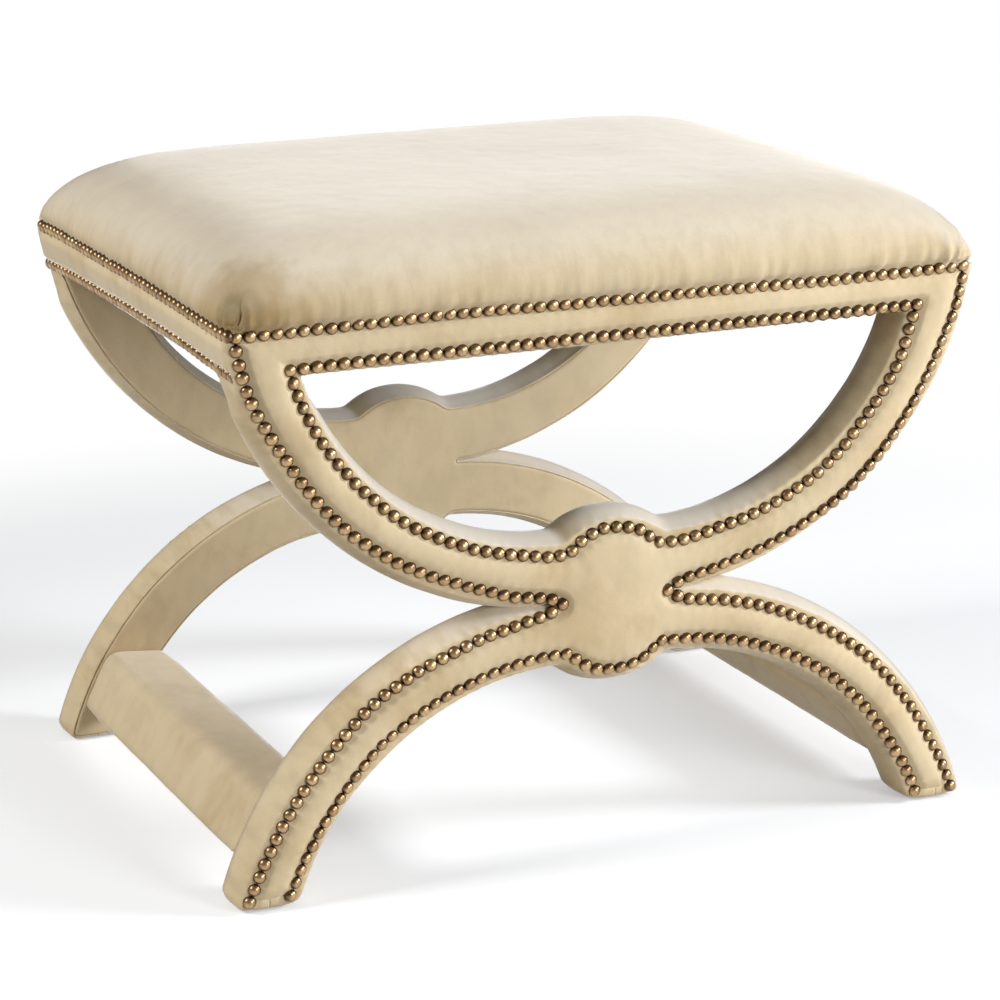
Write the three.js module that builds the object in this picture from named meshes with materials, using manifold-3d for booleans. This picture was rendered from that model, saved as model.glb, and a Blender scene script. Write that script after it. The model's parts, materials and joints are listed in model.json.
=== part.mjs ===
// X frame stool: two upholstered X frames, joined by end rails and low stretchers, carry a crowned seat.
// Millimetres, +X to the right, +Y to the back, +Z up, with the origin on the floor under the middle.
// Each X is drawn once as a run of arcs, and every piece of it is that outline, inset, sawn or lofted.

import * as THREE from 'three';
import { mergeVertices } from 'three/addons/utils/BufferGeometryUtils.js';
import Module from 'manifold-3d';

const wasm = await Module();
wasm.setup();

// Heights above the floor
const glideHeight = 2; // the feet stand on glides, so the fabric starts here
const crossingHeight = 223.1; // where the two outer curves of the X meet
const seatLine = 472.6; // lower edge of the seat cover
const apronHeight = 36.5; // from the seat line down to the underside of the rails

// The X outline at the surface of its fabric, right-hand side
const crotchX = 55.6; // where the outer curves meet, from the middle
const upperRadius = 301.7; // outer curve of the upper legs
const upperCentreX = 34.7;
const lowerRadius = 306.2; // outer curve of the lower legs
const lowerCentreX = 39.9;
const legTopWidth = 55.5; // level width of an upper leg, under the rail
const footWidth = 53.1; // level width of a lower leg, at the bottom
const openingLift = 52.2; // lowest level of the D opening, above the crossing
const openingCentreX = 48.7; // where that lowest level lies
const archDrop = 50.9; // top of the arch between the feet, below the crossing
const archCentreX = 45.6;
const hubBump = 18.1; // how far the round bumps at the crossing stand past the top of the arch
const footCornerRadius = 6;

// Timber
const timberDepth = 500; // over the outside faces of the two wooden X frames
const frameThickness = 38;
const hubHalfWidth = 80; // from the middle to the joint with each leg
const endRailThickness = 25;
const deckThickness = 12;
const cornerBlockLeg = 48;
const cornerBlockTip = 8; // its sharp ends are cut off this wide
const dowelRadius = 5;
const dowelLength = 50;
const railDowelLength = 28;

// Fabric with its thin padding
const skin = 4; // bands on the edges of the frames, stretcher sleeves, end bands
const insideSkin = 3.7; // plain panel on the inside face
const panelEdge = 1.2; // upright edge of the padded outside panel
const shoulderWidth = 9; // its rounded shoulder, where the nails sit
const shoulderHeight = 4.6;
const crownShare = 0.42; // how far in the crown is full, of the height of the rails
const crownRise = 1.2;

// Seat
const seatCrown = 75; // height of the crowned seat over the seat line
const seatOverhangX = 2.6; // how far its sides swell past the frame
const seatOverhangY = 8.5;
const seatTuckX = 2; // how far its lower edge is drawn in under the swell
const seatTuckY = 8.5;
const seatTuckHeight = 16;
const coverThickness = 3;
const crownPlanPower = 6.8; // how square the crown is
const crownEdgePower = 2.33; // how round its edge is

// Stretchers, low between the legs
const stretcherBottom = 32;
const stretcherOuterTop = 84;
const stretcherInnerTop = 79;
const stretcherSoftness = 11; // how far from each corner its rounding starts

// Dust cover under the seat
const dustCoverThickness = 1;
const dustCoverLap = 12; // how far it laps on to the rails
const dustCoverNotch = 3; // clearance around the tops of the legs

// Nail-on glides
const glideRadius = 11;
const glideChamfer = 1.1;
const glideShankRadius = 1.6;
const glideShankLength = 18;
const glidePoint = 4;

// Clearances, and one overrun for all the cuts
const gap = 0.3; // between pieces that touch
const boreEnd = 1.5; // room past the end of a dowel or a nail
const overrun = 20;

// Facets
const hubFacets = 4;
const archFacets = 10;
const filletFacets = 3;
const lowerFacets = 13;
const notchFacets = 3;
const upperFacets = 14;
const openingFacets = 11;
const endFacets = 4;
const roundFacets = 12;
const seatFacets = 10; // from the middle of the seat to its edge
const seatFacetShare = 2.3; // above 1, the facets crowd towards the edge

const velvetColour = 0xd9cbb0;
const woodColour = 0xc39a6b;
const plywoodColour = 0xd2b48c;
const foamColour = 0xf0e2b0;
const dustCoverColour = 0x2a2724;
const brassColour = 0x8a6a3e;

const velvet = new THREE.MeshStandardMaterial({ color: velvetColour, roughness: 0.95 });
const wood = new THREE.MeshStandardMaterial({ color: woodColour, roughness: 0.7 });
const plywood = new THREE.MeshStandardMaterial({ color: plywoodColour, roughness: 0.75 });
const foam = new THREE.MeshStandardMaterial({ color: foamColour, roughness: 1 });
const cambric = new THREE.MeshStandardMaterial({ color: dustCoverColour, roughness: 1 });
const brass = new THREE.MeshStandardMaterial({ color: brassColour, roughness: 0.35, metalness: 1 });

// Levels and places that follow from the sizes above
const coreInset = skin + gap;
const apronBottom = seatLine - apronHeight;
const deckTop = seatLine - gap;
const deckBottom = deckTop - deckThickness;
const railBottom = apronBottom + coreInset;
const railTop = deckBottom - gap;
const halfTimber = timberDepth / 2;
const frameY = halfTimber - frameThickness / 2;
const betweenCores = 2 * (halfTimber - frameThickness - gap);
const betweenPanels = 2 * (halfTimber - frameThickness - 2 * gap - insideSkin);
const panelHeight = panelEdge + shoulderHeight + crownRise;
const crownWidth = crownShare * apronHeight;

// The circles of the outline, as centre and radius. Timber lies inside upper, lower and hub.
function rise(radius, acrossX) {
  return Math.sqrt(radius ** 2 - acrossX ** 2);
}

// Right-hand point of a circle at a height
function xAt(circle, z) {
  return circle.x + rise(circle.r, z - circle.z);
}

// The circle that turns level at a height above x, and passes through a point
function curveThrough(x, height, point) {
  const up = point.z - height;
  const radius = ((point.x - x) ** 2 + up ** 2) / (2 * Math.abs(up));
  return { x, z: height + Math.sign(up) * radius, r: radius };
}

const upper = { x: upperCentreX, z: crossingHeight + rise(upperRadius, crotchX - upperCentreX), r: upperRadius };
const lower = { x: lowerCentreX, z: crossingHeight - rise(lowerRadius, crotchX - lowerCentreX), r: lowerRadius };
const legTopEnd = { x: xAt(upper, apronBottom) - legTopWidth, z: apronBottom };
const opening = curveThrough(openingCentreX, crossingHeight + openingLift, legTopEnd);
const footEnd = { x: xAt(lower, glideHeight) - footWidth, z: glideHeight };
const arch = curveThrough(archCentreX, crossingHeight - archDrop, footEnd);
const hub = { x: 0, z: crossingHeight, r: archDrop + hubBump };
const crotch = { x: crotchX, z: crossingHeight };

function resized(circle, change) {
  return { ...circle, r: circle.r + change };
}

// Upper or lower point of a circle at a distance from the middle
function zAt(circle, x, side) {
  return circle.z + side * rise(circle.r, x - circle.x);
}

function angleTo(circle, point) {
  return Math.atan2(point.z - circle.z, point.x - circle.x);
}

// The crossing of two circles that lies further to the right
function meeting(a, b) {
  const apart = Math.hypot(b.x - a.x, b.z - a.z);
  const along = (a.r ** 2 - b.r ** 2 + apart ** 2) / (2 * apart);
  const across = rise(a.r, along);
  const ux = (b.x - a.x) / apart;
  const uz = (b.z - a.z) / apart;
  const foot = { x: a.x + ux * along, z: a.z + uz * along };
  const turn = uz > 0 ? 1 : -1;
  return { x: foot.x + turn * uz * across, z: foot.z - turn * ux * across };
}

function arc(circle, from, to, facets) {
  const points = [];
  for (let i = 0; i <= facets; i += 1) {
    const angle = from + ((to - from) * i) / facets;
    points.push(new THREE.Vector2(circle.x + circle.r * Math.cos(angle), circle.z + circle.r * Math.sin(angle)));
  }
  return points;
}

// A rounded corner under a foot, drawn in by an inset: tangent to the curve beside it, which grows or
// shrinks with the inset, and to the flat underside. Past its own radius it is a sharp corner.
function footCorner(circle, growth, inset) {
  const reach = Math.max(inset, footCornerRadius);
  const z = glideHeight + reach;
  return { x: xAt(resized(circle, growth * reach), z), z, r: reach - inset };
}

const footMiddleX = (footCorner(arch, 1, 0).x + footCorner(lower, -1, 0).x) / 2;

// Right-hand runs of the outline, each drawn in from the fabric's surface by an inset
function archRun(inset) {
  const bump = resized(hub, -inset);
  const curve = resized(arch, inset);
  const corner = footCorner(arch, 1, inset);
  const joint = meeting(bump, curve);
  const end = angleTo(arch, corner);
  return [
    ...arc(bump, -Math.PI / 2, angleTo(bump, joint), hubFacets),
    ...arc(curve, angleTo(curve, joint), end, archFacets).slice(1),
    ...arc(corner, end + Math.PI, (3 * Math.PI) / 2, filletFacets).slice(1),
  ];
}

function sideRun(inset, top) {
  const curve = resized(lower, -inset);
  const corner = footCorner(lower, -1, inset);
  const over = resized(upper, -inset);
  const start = angleTo(lower, corner);
  const lowerCrotch = angleTo(lower, crotch);
  const upperCrotch = angleTo(upper, crotch);
  const notch = { ...crotch, r: inset };
  return [
    ...arc(corner, -Math.PI / 2, start, filletFacets),
    ...arc(curve, start, lowerCrotch, lowerFacets).slice(1),
    ...arc(notch, lowerCrotch + Math.PI, upperCrotch + Math.PI, notchFacets).slice(1),
    ...arc(over, upperCrotch, Math.asin((top - over.z) / over.r), upperFacets).slice(1),
  ];
}

function openingRun(inset, top) {
  const bump = resized(hub, -inset);
  const curve = resized(opening, inset);
  const joint = meeting(curve, bump);
  return [
    ...arc(curve, Math.asin((top - curve.z) / curve.r), angleTo(curve, joint), openingFacets),
    ...arc(bump, angleTo(bump, joint), Math.PI / 2, hubFacets).slice(1),
  ];
}

function mirrored(points) {
  return points.map((point) => new THREE.Vector2(-point.x, point.y)).reverse();
}

// Whole outline of an X frame, and its D opening
function frameLoop(inset, top) {
  const right = [...archRun(inset), ...sideRun(inset, top)];
  return [...right, ...mirrored(right).slice(0, -1)];
}

function openingLoop(inset) {
  const right = openingRun(inset, apronBottom + inset);
  return [...right, ...mirrored(right).slice(1)];
}

// A ribbon of the skin's thickness along a run
function ribbon(surface, lining) {
  return new THREE.Shape([...surface, ...[...lining].reverse()]);
}

// Geometry helpers. upright() turns a shape drawn in X and Z to stand, centred on y = 0.
function upright(shape, thickness) {
  const geometry = new THREE.ExtrudeGeometry(shape, { depth: thickness, bevelEnabled: false, curveSegments: 4 });
  geometry.rotateX(Math.PI / 2);
  geometry.translate(0, thickness / 2, 0);
  return geometry;
}

function box(low, high) {
  const geometry = new THREE.BoxGeometry(high[0] - low[0], high[1] - low[1], high[2] - low[2]);
  geometry.translate((low[0] + high[0]) / 2, (low[1] + high[1]) / 2, (low[2] + high[2]) / 2);
  return geometry;
}

function cylinderAlongX(radius, length) {
  return new THREE.CylinderGeometry(radius, radius, length, roundFacets).rotateZ(Math.PI / 2);
}

function cylinderAlongY(radius, length) {
  return new THREE.CylinderGeometry(radius, radius, length, roundFacets);
}

function cylinderAlongZ(radius, length) {
  return new THREE.CylinderGeometry(radius, radius, length, roundFacets).rotateX(Math.PI / 2);
}

function solidOf(geometry) {
  const bare = new THREE.BufferGeometry();
  bare.setAttribute('position', geometry.getAttribute('position').clone());
  if (geometry.index) bare.setIndex(geometry.index.clone());
  const merged = mergeVertices(bare);
  const corners = merged.index.array;
  const kept = [];
  for (let i = 0; i < corners.length; i += 3) {
    const [a, b, c] = corners.slice(i, i + 3);
    if (a !== b && b !== c && c !== a) kept.push(a, b, c);
  }
  const vertProperties = new Float32Array(merged.getAttribute('position').array);
  return new wasm.Manifold(new wasm.Mesh({ numProp: 3, vertProperties, triVerts: new Uint32Array(kept) }));
}

function geometryOf(solid) {
  const { vertProperties, triVerts } = solid.getMesh();
  const geometry = new THREE.BufferGeometry();
  geometry.setAttribute('position', new THREE.BufferAttribute(new Float32Array(vertProperties), 3));
  geometry.setIndex(new THREE.BufferAttribute(new Uint32Array(triVerts), 1));
  return geometry;
}

// A solid through a stack of levels, each holding loops with as many points as those below it.
// The first loop runs anticlockwise seen from the front and the others, its holes, run clockwise.
function loft(levels) {
  const points = levels.flatMap(({ loops, y }) => loops.flat().map((point) => [point.x, y, point.y]));
  const perLevel = levels[0].loops.flat().length;
  const index = [];
  for (let level = 0; level + 1 < levels.length; level += 1) {
    let start = level * perLevel;
    for (const loop of levels[level].loops) {
      for (let i = 0; i < loop.length; i += 1) {
        const a = start + i;
        const b = start + ((i + 1) % loop.length);
        index.push(a, b, b + perLevel, a, b + perLevel, a + perLevel);
      }
      start += loop.length;
    }
  }
  const last = (levels.length - 1) * perLevel;
  const cap = (loops) => THREE.ShapeUtils.triangulateShape(loops[0], loops.slice(1));
  for (const [a, b, c] of cap(levels[0].loops)) index.push(a, c, b);
  for (const [a, b, c] of cap(levels.at(-1).loops)) index.push(last + a, last + b, last + c);
  const geometry = new THREE.BufferGeometry();
  geometry.setAttribute('position', new THREE.Float32BufferAttribute(points.flat(), 3));
  geometry.setIndex(index);
  return geometry;
}

const stool = new THREE.Group();

function add(parent, name, geometry, material) {
  geometry.computeVertexNormals();
  const mesh = new THREE.Mesh(geometry, material);
  mesh.name = name;
  parent.add(mesh);
}

// Dowels of one X frame: one across each joint of a leg with the hub, one up into the rail
const upperJointZ = (zAt(upper, hubHalfWidth, -1) + zAt(opening, hubHalfWidth, -1)) / 2;
const lowerJointZ = (zAt(lower, hubHalfWidth, 1) + zAt(arch, hubHalfWidth, 1)) / 2;
const railJointX = (xAt(upper, railBottom) + xAt(opening, railBottom)) / 2;

function dowelPlaces(side) {
  return {
    upper_hub_dowel: { at: [side * hubHalfWidth, 0, upperJointZ], length: dowelLength, shape: cylinderAlongX },
    lower_hub_dowel: { at: [side * hubHalfWidth, 0, lowerJointZ], length: dowelLength, shape: cylinderAlongX },
    rail_dowel: { at: [side * railJointX, 0, railBottom], length: railDowelLength, shape: cylinderAlongZ },
  };
}

const dowels = [...Object.values(dowelPlaces(1)), ...Object.values(dowelPlaces(-1))];

function boreFor({ at, length, shape }) {
  return solidOf(shape(dowelRadius + gap, length + 2 * boreEnd).translate(...at));
}

// Section of a stretcher: a slice of the lower leg with soft corners
function stretcherSection(inset, softness) {
  const outer = resized(lower, -inset);
  const inner = resized(arch, inset);
  const bottom = stretcherBottom + inset;
  const outerTop = stretcherOuterTop - inset;
  const innerTop = stretcherInnerTop - inset;
  const corners = [
    new THREE.Vector2(xAt(inner, bottom), bottom),
    new THREE.Vector2(xAt(outer, bottom), bottom),
    new THREE.Vector2(xAt(outer, outerTop), outerTop),
    new THREE.Vector2(xAt(inner, innerTop), innerTop),
  ];
  const path = new THREE.Shape();
  corners.forEach((corner, i) => {
    const before = corners.at(i - 1);
    const after = corners[(i + 1) % corners.length];
    const start = before.clone().sub(corner).setLength(softness).add(corner);
    const end = after.clone().sub(corner).setLength(softness).add(corner);
    if (i === 0) path.moveTo(start.x, start.y);
    else path.lineTo(start.x, start.y);
    path.quadraticCurveTo(corner.x, corner.y, end.x, end.y);
  });
  path.closePath();
  return path;
}

// Mirrors a right-hand solid to the left
function onSide(solid, side) {
  return side > 0 ? solid : solid.mirror([1, 0, 0]);
}

const coreSoftness = stretcherSoftness - coreInset;
const stretcherCentre = {
  x: (xAt(lower, stretcherBottom) + xAt(arch, stretcherInnerTop)) / 2,
  z: (stretcherBottom + (stretcherOuterTop + stretcherInnerTop) / 2) / 2,
};

function stretcherDowelPlace(sideX, sideY) {
  const y = sideY * (halfTimber - frameThickness);
  return { at: [sideX * stretcherCentre.x, y, stretcherCentre.z], length: dowelLength, shape: cylinderAlongY };
}

// The glide's shank goes up through the fabric into the leg
function glideBore(side) {
  const height = glideHeight + glideShankLength + boreEnd;
  const bore = cylinderAlongZ(glideShankRadius + gap, height).translate(side * footMiddleX, 0, height / 2);
  return solidOf(bore);
}

// One X frame, drawn with its outside face towards -y and its timber centred on y = 0
function xFrame(name, facing) {
  const frame = new THREE.Group();
  const sideName = (side) => (side * facing > 0 ? 'right' : 'left');
  const glideBores = [glideBore(1), glideBore(-1)];

  // Timber: one blank sawn into a rail, a hub and four curved legs
  const outline = new THREE.Shape(frameLoop(coreInset, railTop));
  outline.holes.push(new THREE.Path(openingLoop(coreInset)));
  let blank = solidOf(upright(outline, frameThickness));
  const bores = [...dowels.map(boreFor), ...glideBores];
  for (const side of [1, -1]) {
    const place = stretcherDowelPlace(side, 1);
    bores.push(boreFor({ ...place, at: [place.at[0], frameThickness / 2, place.at[2]] }));
  }
  for (const bore of bores) blank = blank.subtract(bore);

  const far = upper.x + upper.r + overrun;
  const deep = frameThickness;
  const sawn = (low, high) => geometryOf(blank.intersect(solidOf(box(low, high))));
  add(frame, `${name}_top_rail`, sawn([-far, -deep, railBottom + gap / 2], [far, deep, seatLine]), wood);
  const hubEdge = hubHalfWidth - gap / 2;
  add(frame, `${name}_hub`, sawn([-hubEdge, -deep, 0], [hubEdge, deep, railBottom - gap]), wood);
  for (const side of [1, -1]) {
    const span = [side * (hubHalfWidth + gap / 2), side * far].sort((a, b) => a - b);
    const legTop = railBottom - gap / 2;
    const upperLeg = sawn([span[0], -deep, crossingHeight], [span[1], deep, legTop]);
    const lowerLeg = sawn([span[0], -deep, 0], [span[1], deep, crossingHeight]);
    add(frame, `${name}_upper_leg_${sideName(side)}`, upperLeg, wood);
    add(frame, `${name}_lower_leg_${sideName(side)}`, lowerLeg, wood);
    for (const [kind, { at, length, shape }] of Object.entries(dowelPlaces(side))) {
      add(frame, `${name}_${kind}_${sideName(side)}`, shape(dowelRadius, length).translate(...at), wood);
    }
  }

  // Padded panel on the outside face: upright edge, rounded shoulder, crowned middle
  const back = -frameThickness / 2 - gap;
  const level = (inset, height) => ({
    loops: [frameLoop(inset, seatLine - inset), openingLoop(inset)],
    y: back - height,
  });
  const steps = [30, 60].map((degrees) => THREE.MathUtils.degToRad(degrees));
  const shoulder = steps.map((turn) =>
    level(shoulderWidth * (1 - Math.cos(turn)), panelEdge + shoulderHeight * Math.sin(turn)),
  );
  const panel = loft([
    level(0, 0),
    level(0, panelEdge),
    ...shoulder,
    level(shoulderWidth, panelEdge + shoulderHeight),
    level(crownWidth, panelHeight),
  ]);
  add(frame, `${name}_outside_panel`, geometryOf(solidOf(panel)), velvet);

  // Plain panel on the inside face, cut around the ends of the stretchers
  const insideTop = apronBottom - gap;
  const right = [...archRun(0), ...sideRun(0, insideTop), ...openingRun(0, insideTop)];
  const insideOutline = new THREE.Shape([...right, ...mirrored(right).slice(1, -1)]);
  let inside = solidOf(upright(insideOutline, insideSkin));
  const socket = solidOf(upright(stretcherSection(skin, coreSoftness), insideSkin + overrun));
  for (const side of [1, -1]) inside = inside.subtract(onSide(socket, side));
  const insideGeometry = geometryOf(inside).translate(0, frameThickness / 2 + gap + insideSkin / 2, 0);
  add(frame, `${name}_inside_panel`, insideGeometry, velvet);

  // Bands of fabric on the edges of the frame
  const ring = new THREE.Shape(openingLoop(skin).reverse());
  ring.holes.push(new THREE.Path(openingLoop(0)));
  add(frame, `${name}_opening_band`, upright(ring, frameThickness), velvet);

  const seam = (side, inset) => new THREE.Vector2(footMiddleX + (side * gap) / 2, glideHeight + inset);
  const underArch = (inset) => {
    const half = [...archRun(inset), seam(-1, inset)];
    return [...mirrored(half).slice(0, -1), ...half];
  };
  let archBand = solidOf(upright(ribbon(underArch(0), underArch(skin)), frameThickness));
  for (const bore of glideBores) archBand = archBand.subtract(bore);
  add(frame, `${name}_arch_band`, geometryOf(archBand), velvet);

  const besideLeg = (inset) => [seam(1, inset), ...sideRun(inset, apronBottom - gap)];
  const sideBand = solidOf(upright(ribbon(besideLeg(0), besideLeg(skin)), frameThickness)).subtract(glideBores[0]);
  for (const side of [1, -1]) {
    add(frame, `${name}_side_band_${sideName(side)}`, geometryOf(onSide(sideBand, side)), velvet);
  }

  // A glide under each foot, with its shank
  const profile = [
    [0, 0],
    [glideRadius - glideChamfer, 0],
    [glideRadius, glideChamfer],
    [glideRadius, glideHeight - gap],
    [glideShankRadius, glideHeight - gap],
    [glideShankRadius, glideHeight + glideShankLength - glidePoint],
    [0, glideHeight + glideShankLength],
  ].map(([radius, height]) => new THREE.Vector2(radius, height));
  for (const side of [1, -1]) {
    const glide = new THREE.LatheGeometry(profile, roundFacets);
    glide.rotateX(Math.PI / 2).translate(side * footMiddleX, 0, 0);
    add(frame, `${name}_glide_${sideName(side)}`, geometryOf(solidOf(glide)), brass);
  }
  return frame;
}

const frontFrame = xFrame('front', 1);
frontFrame.position.set(0, -frameY, 0);
const backFrame = xFrame('back', -1);
backFrame.position.set(0, frameY, 0);
backFrame.rotation.z = Math.PI;
stool.add(frontFrame, backFrame);

// End rails, their fabric bands, stretchers and corner blocks, on each side
const upperCore = resized(upper, -coreInset);
const railInnerX = xAt(upperCore, railBottom) - endRailThickness;

function endRail() {
  const section = new THREE.Shape([
    new THREE.Vector2(railInnerX, railBottom),
    new THREE.Vector2(xAt(upperCore, railBottom), railBottom),
    new THREE.Vector2(xAt(upperCore, railTop), railTop),
    new THREE.Vector2(railInnerX, railTop),
  ]);
  return solidOf(upright(section, betweenCores));
}

// The band covers the end from front to back and turns in under the rail
function endBand() {
  const face = (inset) => {
    const circle = resized(upper, -inset);
    const from = Math.asin((apronBottom - circle.z) / circle.r);
    const to = Math.asin((seatLine - circle.z) / circle.r);
    return arc(circle, from, to, endFacets);
  };
  const strip = solidOf(upright(ribbon(face(0), face(skin)), timberDepth));
  const lip = xAt(upper, apronBottom) - skin / 2;
  const half = betweenCores / 2;
  const turnedUnder = box([railInnerX, -half, apronBottom], [lip, half, apronBottom + skin]);
  return strip.add(solidOf(turnedUnder));
}

function stretcherSleeve() {
  const section = stretcherSection(0, stretcherSoftness);
  section.holes.push(stretcherSection(skin, coreSoftness));
  return solidOf(upright(section, betweenPanels));
}

function stretcherCore() {
  let core = solidOf(upright(stretcherSection(coreInset, coreSoftness), betweenCores));
  for (const sideY of [1, -1]) core = core.subtract(boreFor(stretcherDowelPlace(1, sideY)));
  return core;
}

function cornerBlock(sideX, sideY) {
  const x = sideX * (railInnerX - gap);
  const y = sideY * (halfTimber - frameThickness - gap);
  const shape = new THREE.Shape([
    new THREE.Vector2(x, y),
    new THREE.Vector2(x - sideX * cornerBlockLeg, y),
    new THREE.Vector2(x - sideX * cornerBlockLeg, y - sideY * cornerBlockTip),
    new THREE.Vector2(x - sideX * cornerBlockTip, y - sideY * cornerBlockLeg),
    new THREE.Vector2(x, y - sideY * cornerBlockLeg),
  ]);
  const block = new THREE.ExtrudeGeometry(shape, { depth: railTop - railBottom, bevelEnabled: false });
  return block.translate(0, 0, railBottom);
}

for (const side of [1, -1]) {
  const end = side > 0 ? 'right' : 'left';
  add(stool, `end_rail_${end}`, geometryOf(onSide(endRail(), side)), wood);
  add(stool, `end_band_${end}`, geometryOf(onSide(endBand(), side)), velvet);
  add(stool, `stretcher_core_${end}`, geometryOf(onSide(stretcherCore(), side)), wood);
  add(stool, `stretcher_sleeve_${end}`, geometryOf(onSide(stretcherSleeve(), side)), velvet);
  for (const [face, sideY] of [['front', -1], ['back', 1]]) {
    const { at, length, shape } = stretcherDowelPlace(side, sideY);
    add(stool, `stretcher_dowel_${face}_${end}`, shape(dowelRadius, length).translate(...at), wood);
    add(stool, `corner_block_${face}_${end}`, cornerBlock(side, sideY), wood);
  }
}

// Seat: plywood deck, foam pad and the crowned cover drawn over it
const deckHalfX = xAt(upperCore, deckBottom);
add(
  stool,
  'seat_deck',
  box([-deckHalfX, -halfTimber, deckBottom], [deckHalfX, halfTimber, deckTop]),
  plywood,
);

const seatHalfX = xAt(upper, seatLine) + seatOverhangX;
const seatHalfY = halfTimber + gap + panelHeight + seatOverhangY;

// Grid points of the crown, drawn in by an inset, over a base level
function crownSurface(inset, base) {
  const shares = [];
  for (let i = -seatFacets; i <= seatFacets; i += 1) {
    shares.push(Math.sign(i) * (1 - (1 - Math.abs(i) / seatFacets) ** seatFacetShare));
  }
  const edge = (share) => (1 - Math.abs(share) ** crownPlanPower) ** (1 / crownEdgePower);
  const height = seatLine + seatCrown - inset - base;
  const points = [];
  for (const v of shares) {
    for (const u of shares) {
      const z = height * edge(u) * edge(v);
      const tuck = Math.max(0, 1 - z / seatTuckHeight) ** 2;
      const x = u * (seatHalfX - inset - tuck * seatTuckX);
      const y = v * (seatHalfY - inset - tuck * seatTuckY);
      points.push([x, y, base + z]);
    }
  }
  return { points, side: shares.length };
}

// Triangles of a grid, facing up or down
function gridFaces(side, start, up) {
  const faces = [];
  for (let row = 0; row + 1 < side; row += 1) {
    for (let column = 0; column + 1 < side; column += 1) {
      const a = start + row * side + column;
      const [b, c, d] = [a + 1, a + side + 1, a + side];
      if (up) faces.push(a, b, c, a, c, d);
      else faces.push(a, c, b, a, d, c);
    }
  }
  return faces;
}

// Indices around the edge of a grid, anticlockwise from above
function gridRim(side) {
  const last = side - 1;
  const steps = [...Array(last).keys()];
  return [
    ...steps.map((i) => i),
    ...steps.map((i) => i * side + last),
    ...steps.map((i) => last * side + last - i),
    ...steps.map((i) => (last - i) * side),
  ];
}

function seatCover() {
  const base = seatLine + gap;
  const outside = crownSurface(0, base);
  const inside = crownSurface(coverThickness, base);
  const count = outside.points.length;
  const index = [...gridFaces(outside.side, 0, true), ...gridFaces(inside.side, count, false)];
  const rim = gridRim(outside.side);
  rim.forEach((a, i) => {
    const b = rim[(i + 1) % rim.length];
    index.push(a, a + count, b + count, a, b + count, b);
  });
  const geometry = new THREE.BufferGeometry();
  const points = [...outside.points, ...inside.points].flat();
  geometry.setAttribute('position', new THREE.Float32BufferAttribute(points, 3));
  geometry.setIndex(index);
  return geometry;
}

// The foam has the crown's own form, with a flat underside on the deck
function seatFoam() {
  const base = deckTop + gap;
  const crown = crownSurface(coverThickness + gap, base);
  const count = crown.points.length;
  const rim = gridRim(crown.side);
  const points = [...crown.points, [0, 0, base]];
  const index = gridFaces(crown.side, 0, true);
  rim.forEach((a, i) => index.push(a, count, rim[(i + 1) % rim.length]));
  const geometry = new THREE.BufferGeometry();
  geometry.setAttribute('position', new THREE.Float32BufferAttribute(points.flat(), 3));
  geometry.setIndex(index);
  return geometry;
}

add(stool, 'seat_foam', seatFoam(), foam);
add(stool, 'seat_cover', seatCover(), velvet);

// Dust cover under the seat, notched around the tops of the legs
function dustCover() {
  const wideX = railInnerX + dustCoverLap;
  const shortY = betweenPanels / 2 - dustCoverNotch;
  const narrowX = xAt(opening, apronBottom - dustCoverThickness - gap) - dustCoverNotch;
  const longY = halfTimber - frameThickness + dustCoverLap;
  const corner = [
    new THREE.Vector2(wideX, 0),
    new THREE.Vector2(wideX, shortY),
    new THREE.Vector2(narrowX, shortY),
    new THREE.Vector2(narrowX, longY),
  ];
  const rightHalf = [...corner.map((point) => new THREE.Vector2(point.x, -point.y)).reverse(), ...corner.slice(1)];
  const outline = [...rightHalf, ...mirrored(rightHalf)];
  const sheet = new THREE.ExtrudeGeometry(new THREE.Shape(outline), {
    depth: dustCoverThickness,
    bevelEnabled: false,
  });
  return sheet.translate(0, 0, apronBottom - gap - dustCoverThickness);
}

add(stool, 'dust_cover', dustCover(), cambric);

export default stool;
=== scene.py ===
# %% [markdown]
# # An upholstered X frame stool
#
# The stool is timber that nobody sees: two X frames, covered in cream velvet and trimmed with rows of
# brass nails, with a crowned seat on top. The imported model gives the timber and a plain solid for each
# piece of fabric. This file keeps the timber where it is and makes the fabric and the nails around it.

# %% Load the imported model
import json
import math
import random

import bmesh
import bpy
import numpy as np
from mathutils import Matrix, Vector, geometry, kdtree, noise
from mathutils.bvhtree import BVHTree


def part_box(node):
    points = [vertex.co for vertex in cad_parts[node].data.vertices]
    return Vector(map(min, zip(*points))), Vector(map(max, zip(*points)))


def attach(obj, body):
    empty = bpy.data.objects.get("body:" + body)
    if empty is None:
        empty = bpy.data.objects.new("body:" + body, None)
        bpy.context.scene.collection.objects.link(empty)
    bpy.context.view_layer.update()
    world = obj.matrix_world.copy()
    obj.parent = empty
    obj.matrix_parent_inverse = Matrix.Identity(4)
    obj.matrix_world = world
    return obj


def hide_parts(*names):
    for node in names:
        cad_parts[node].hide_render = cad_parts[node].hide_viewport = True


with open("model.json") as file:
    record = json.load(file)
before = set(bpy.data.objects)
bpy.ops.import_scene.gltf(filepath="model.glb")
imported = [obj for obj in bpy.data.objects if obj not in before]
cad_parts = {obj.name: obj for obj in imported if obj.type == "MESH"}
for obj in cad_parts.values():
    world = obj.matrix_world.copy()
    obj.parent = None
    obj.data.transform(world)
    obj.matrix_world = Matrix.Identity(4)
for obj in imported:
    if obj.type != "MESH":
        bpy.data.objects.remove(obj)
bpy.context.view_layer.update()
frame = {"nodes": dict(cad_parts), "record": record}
print("packed nodes:", len(frame["nodes"]))

# %% [markdown]
# ## Sizes
#
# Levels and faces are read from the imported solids, so that the fabric follows them. The circles of the X
# are repeated here in metres, because a solid made of facets no longer says which circle it came from.

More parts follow.
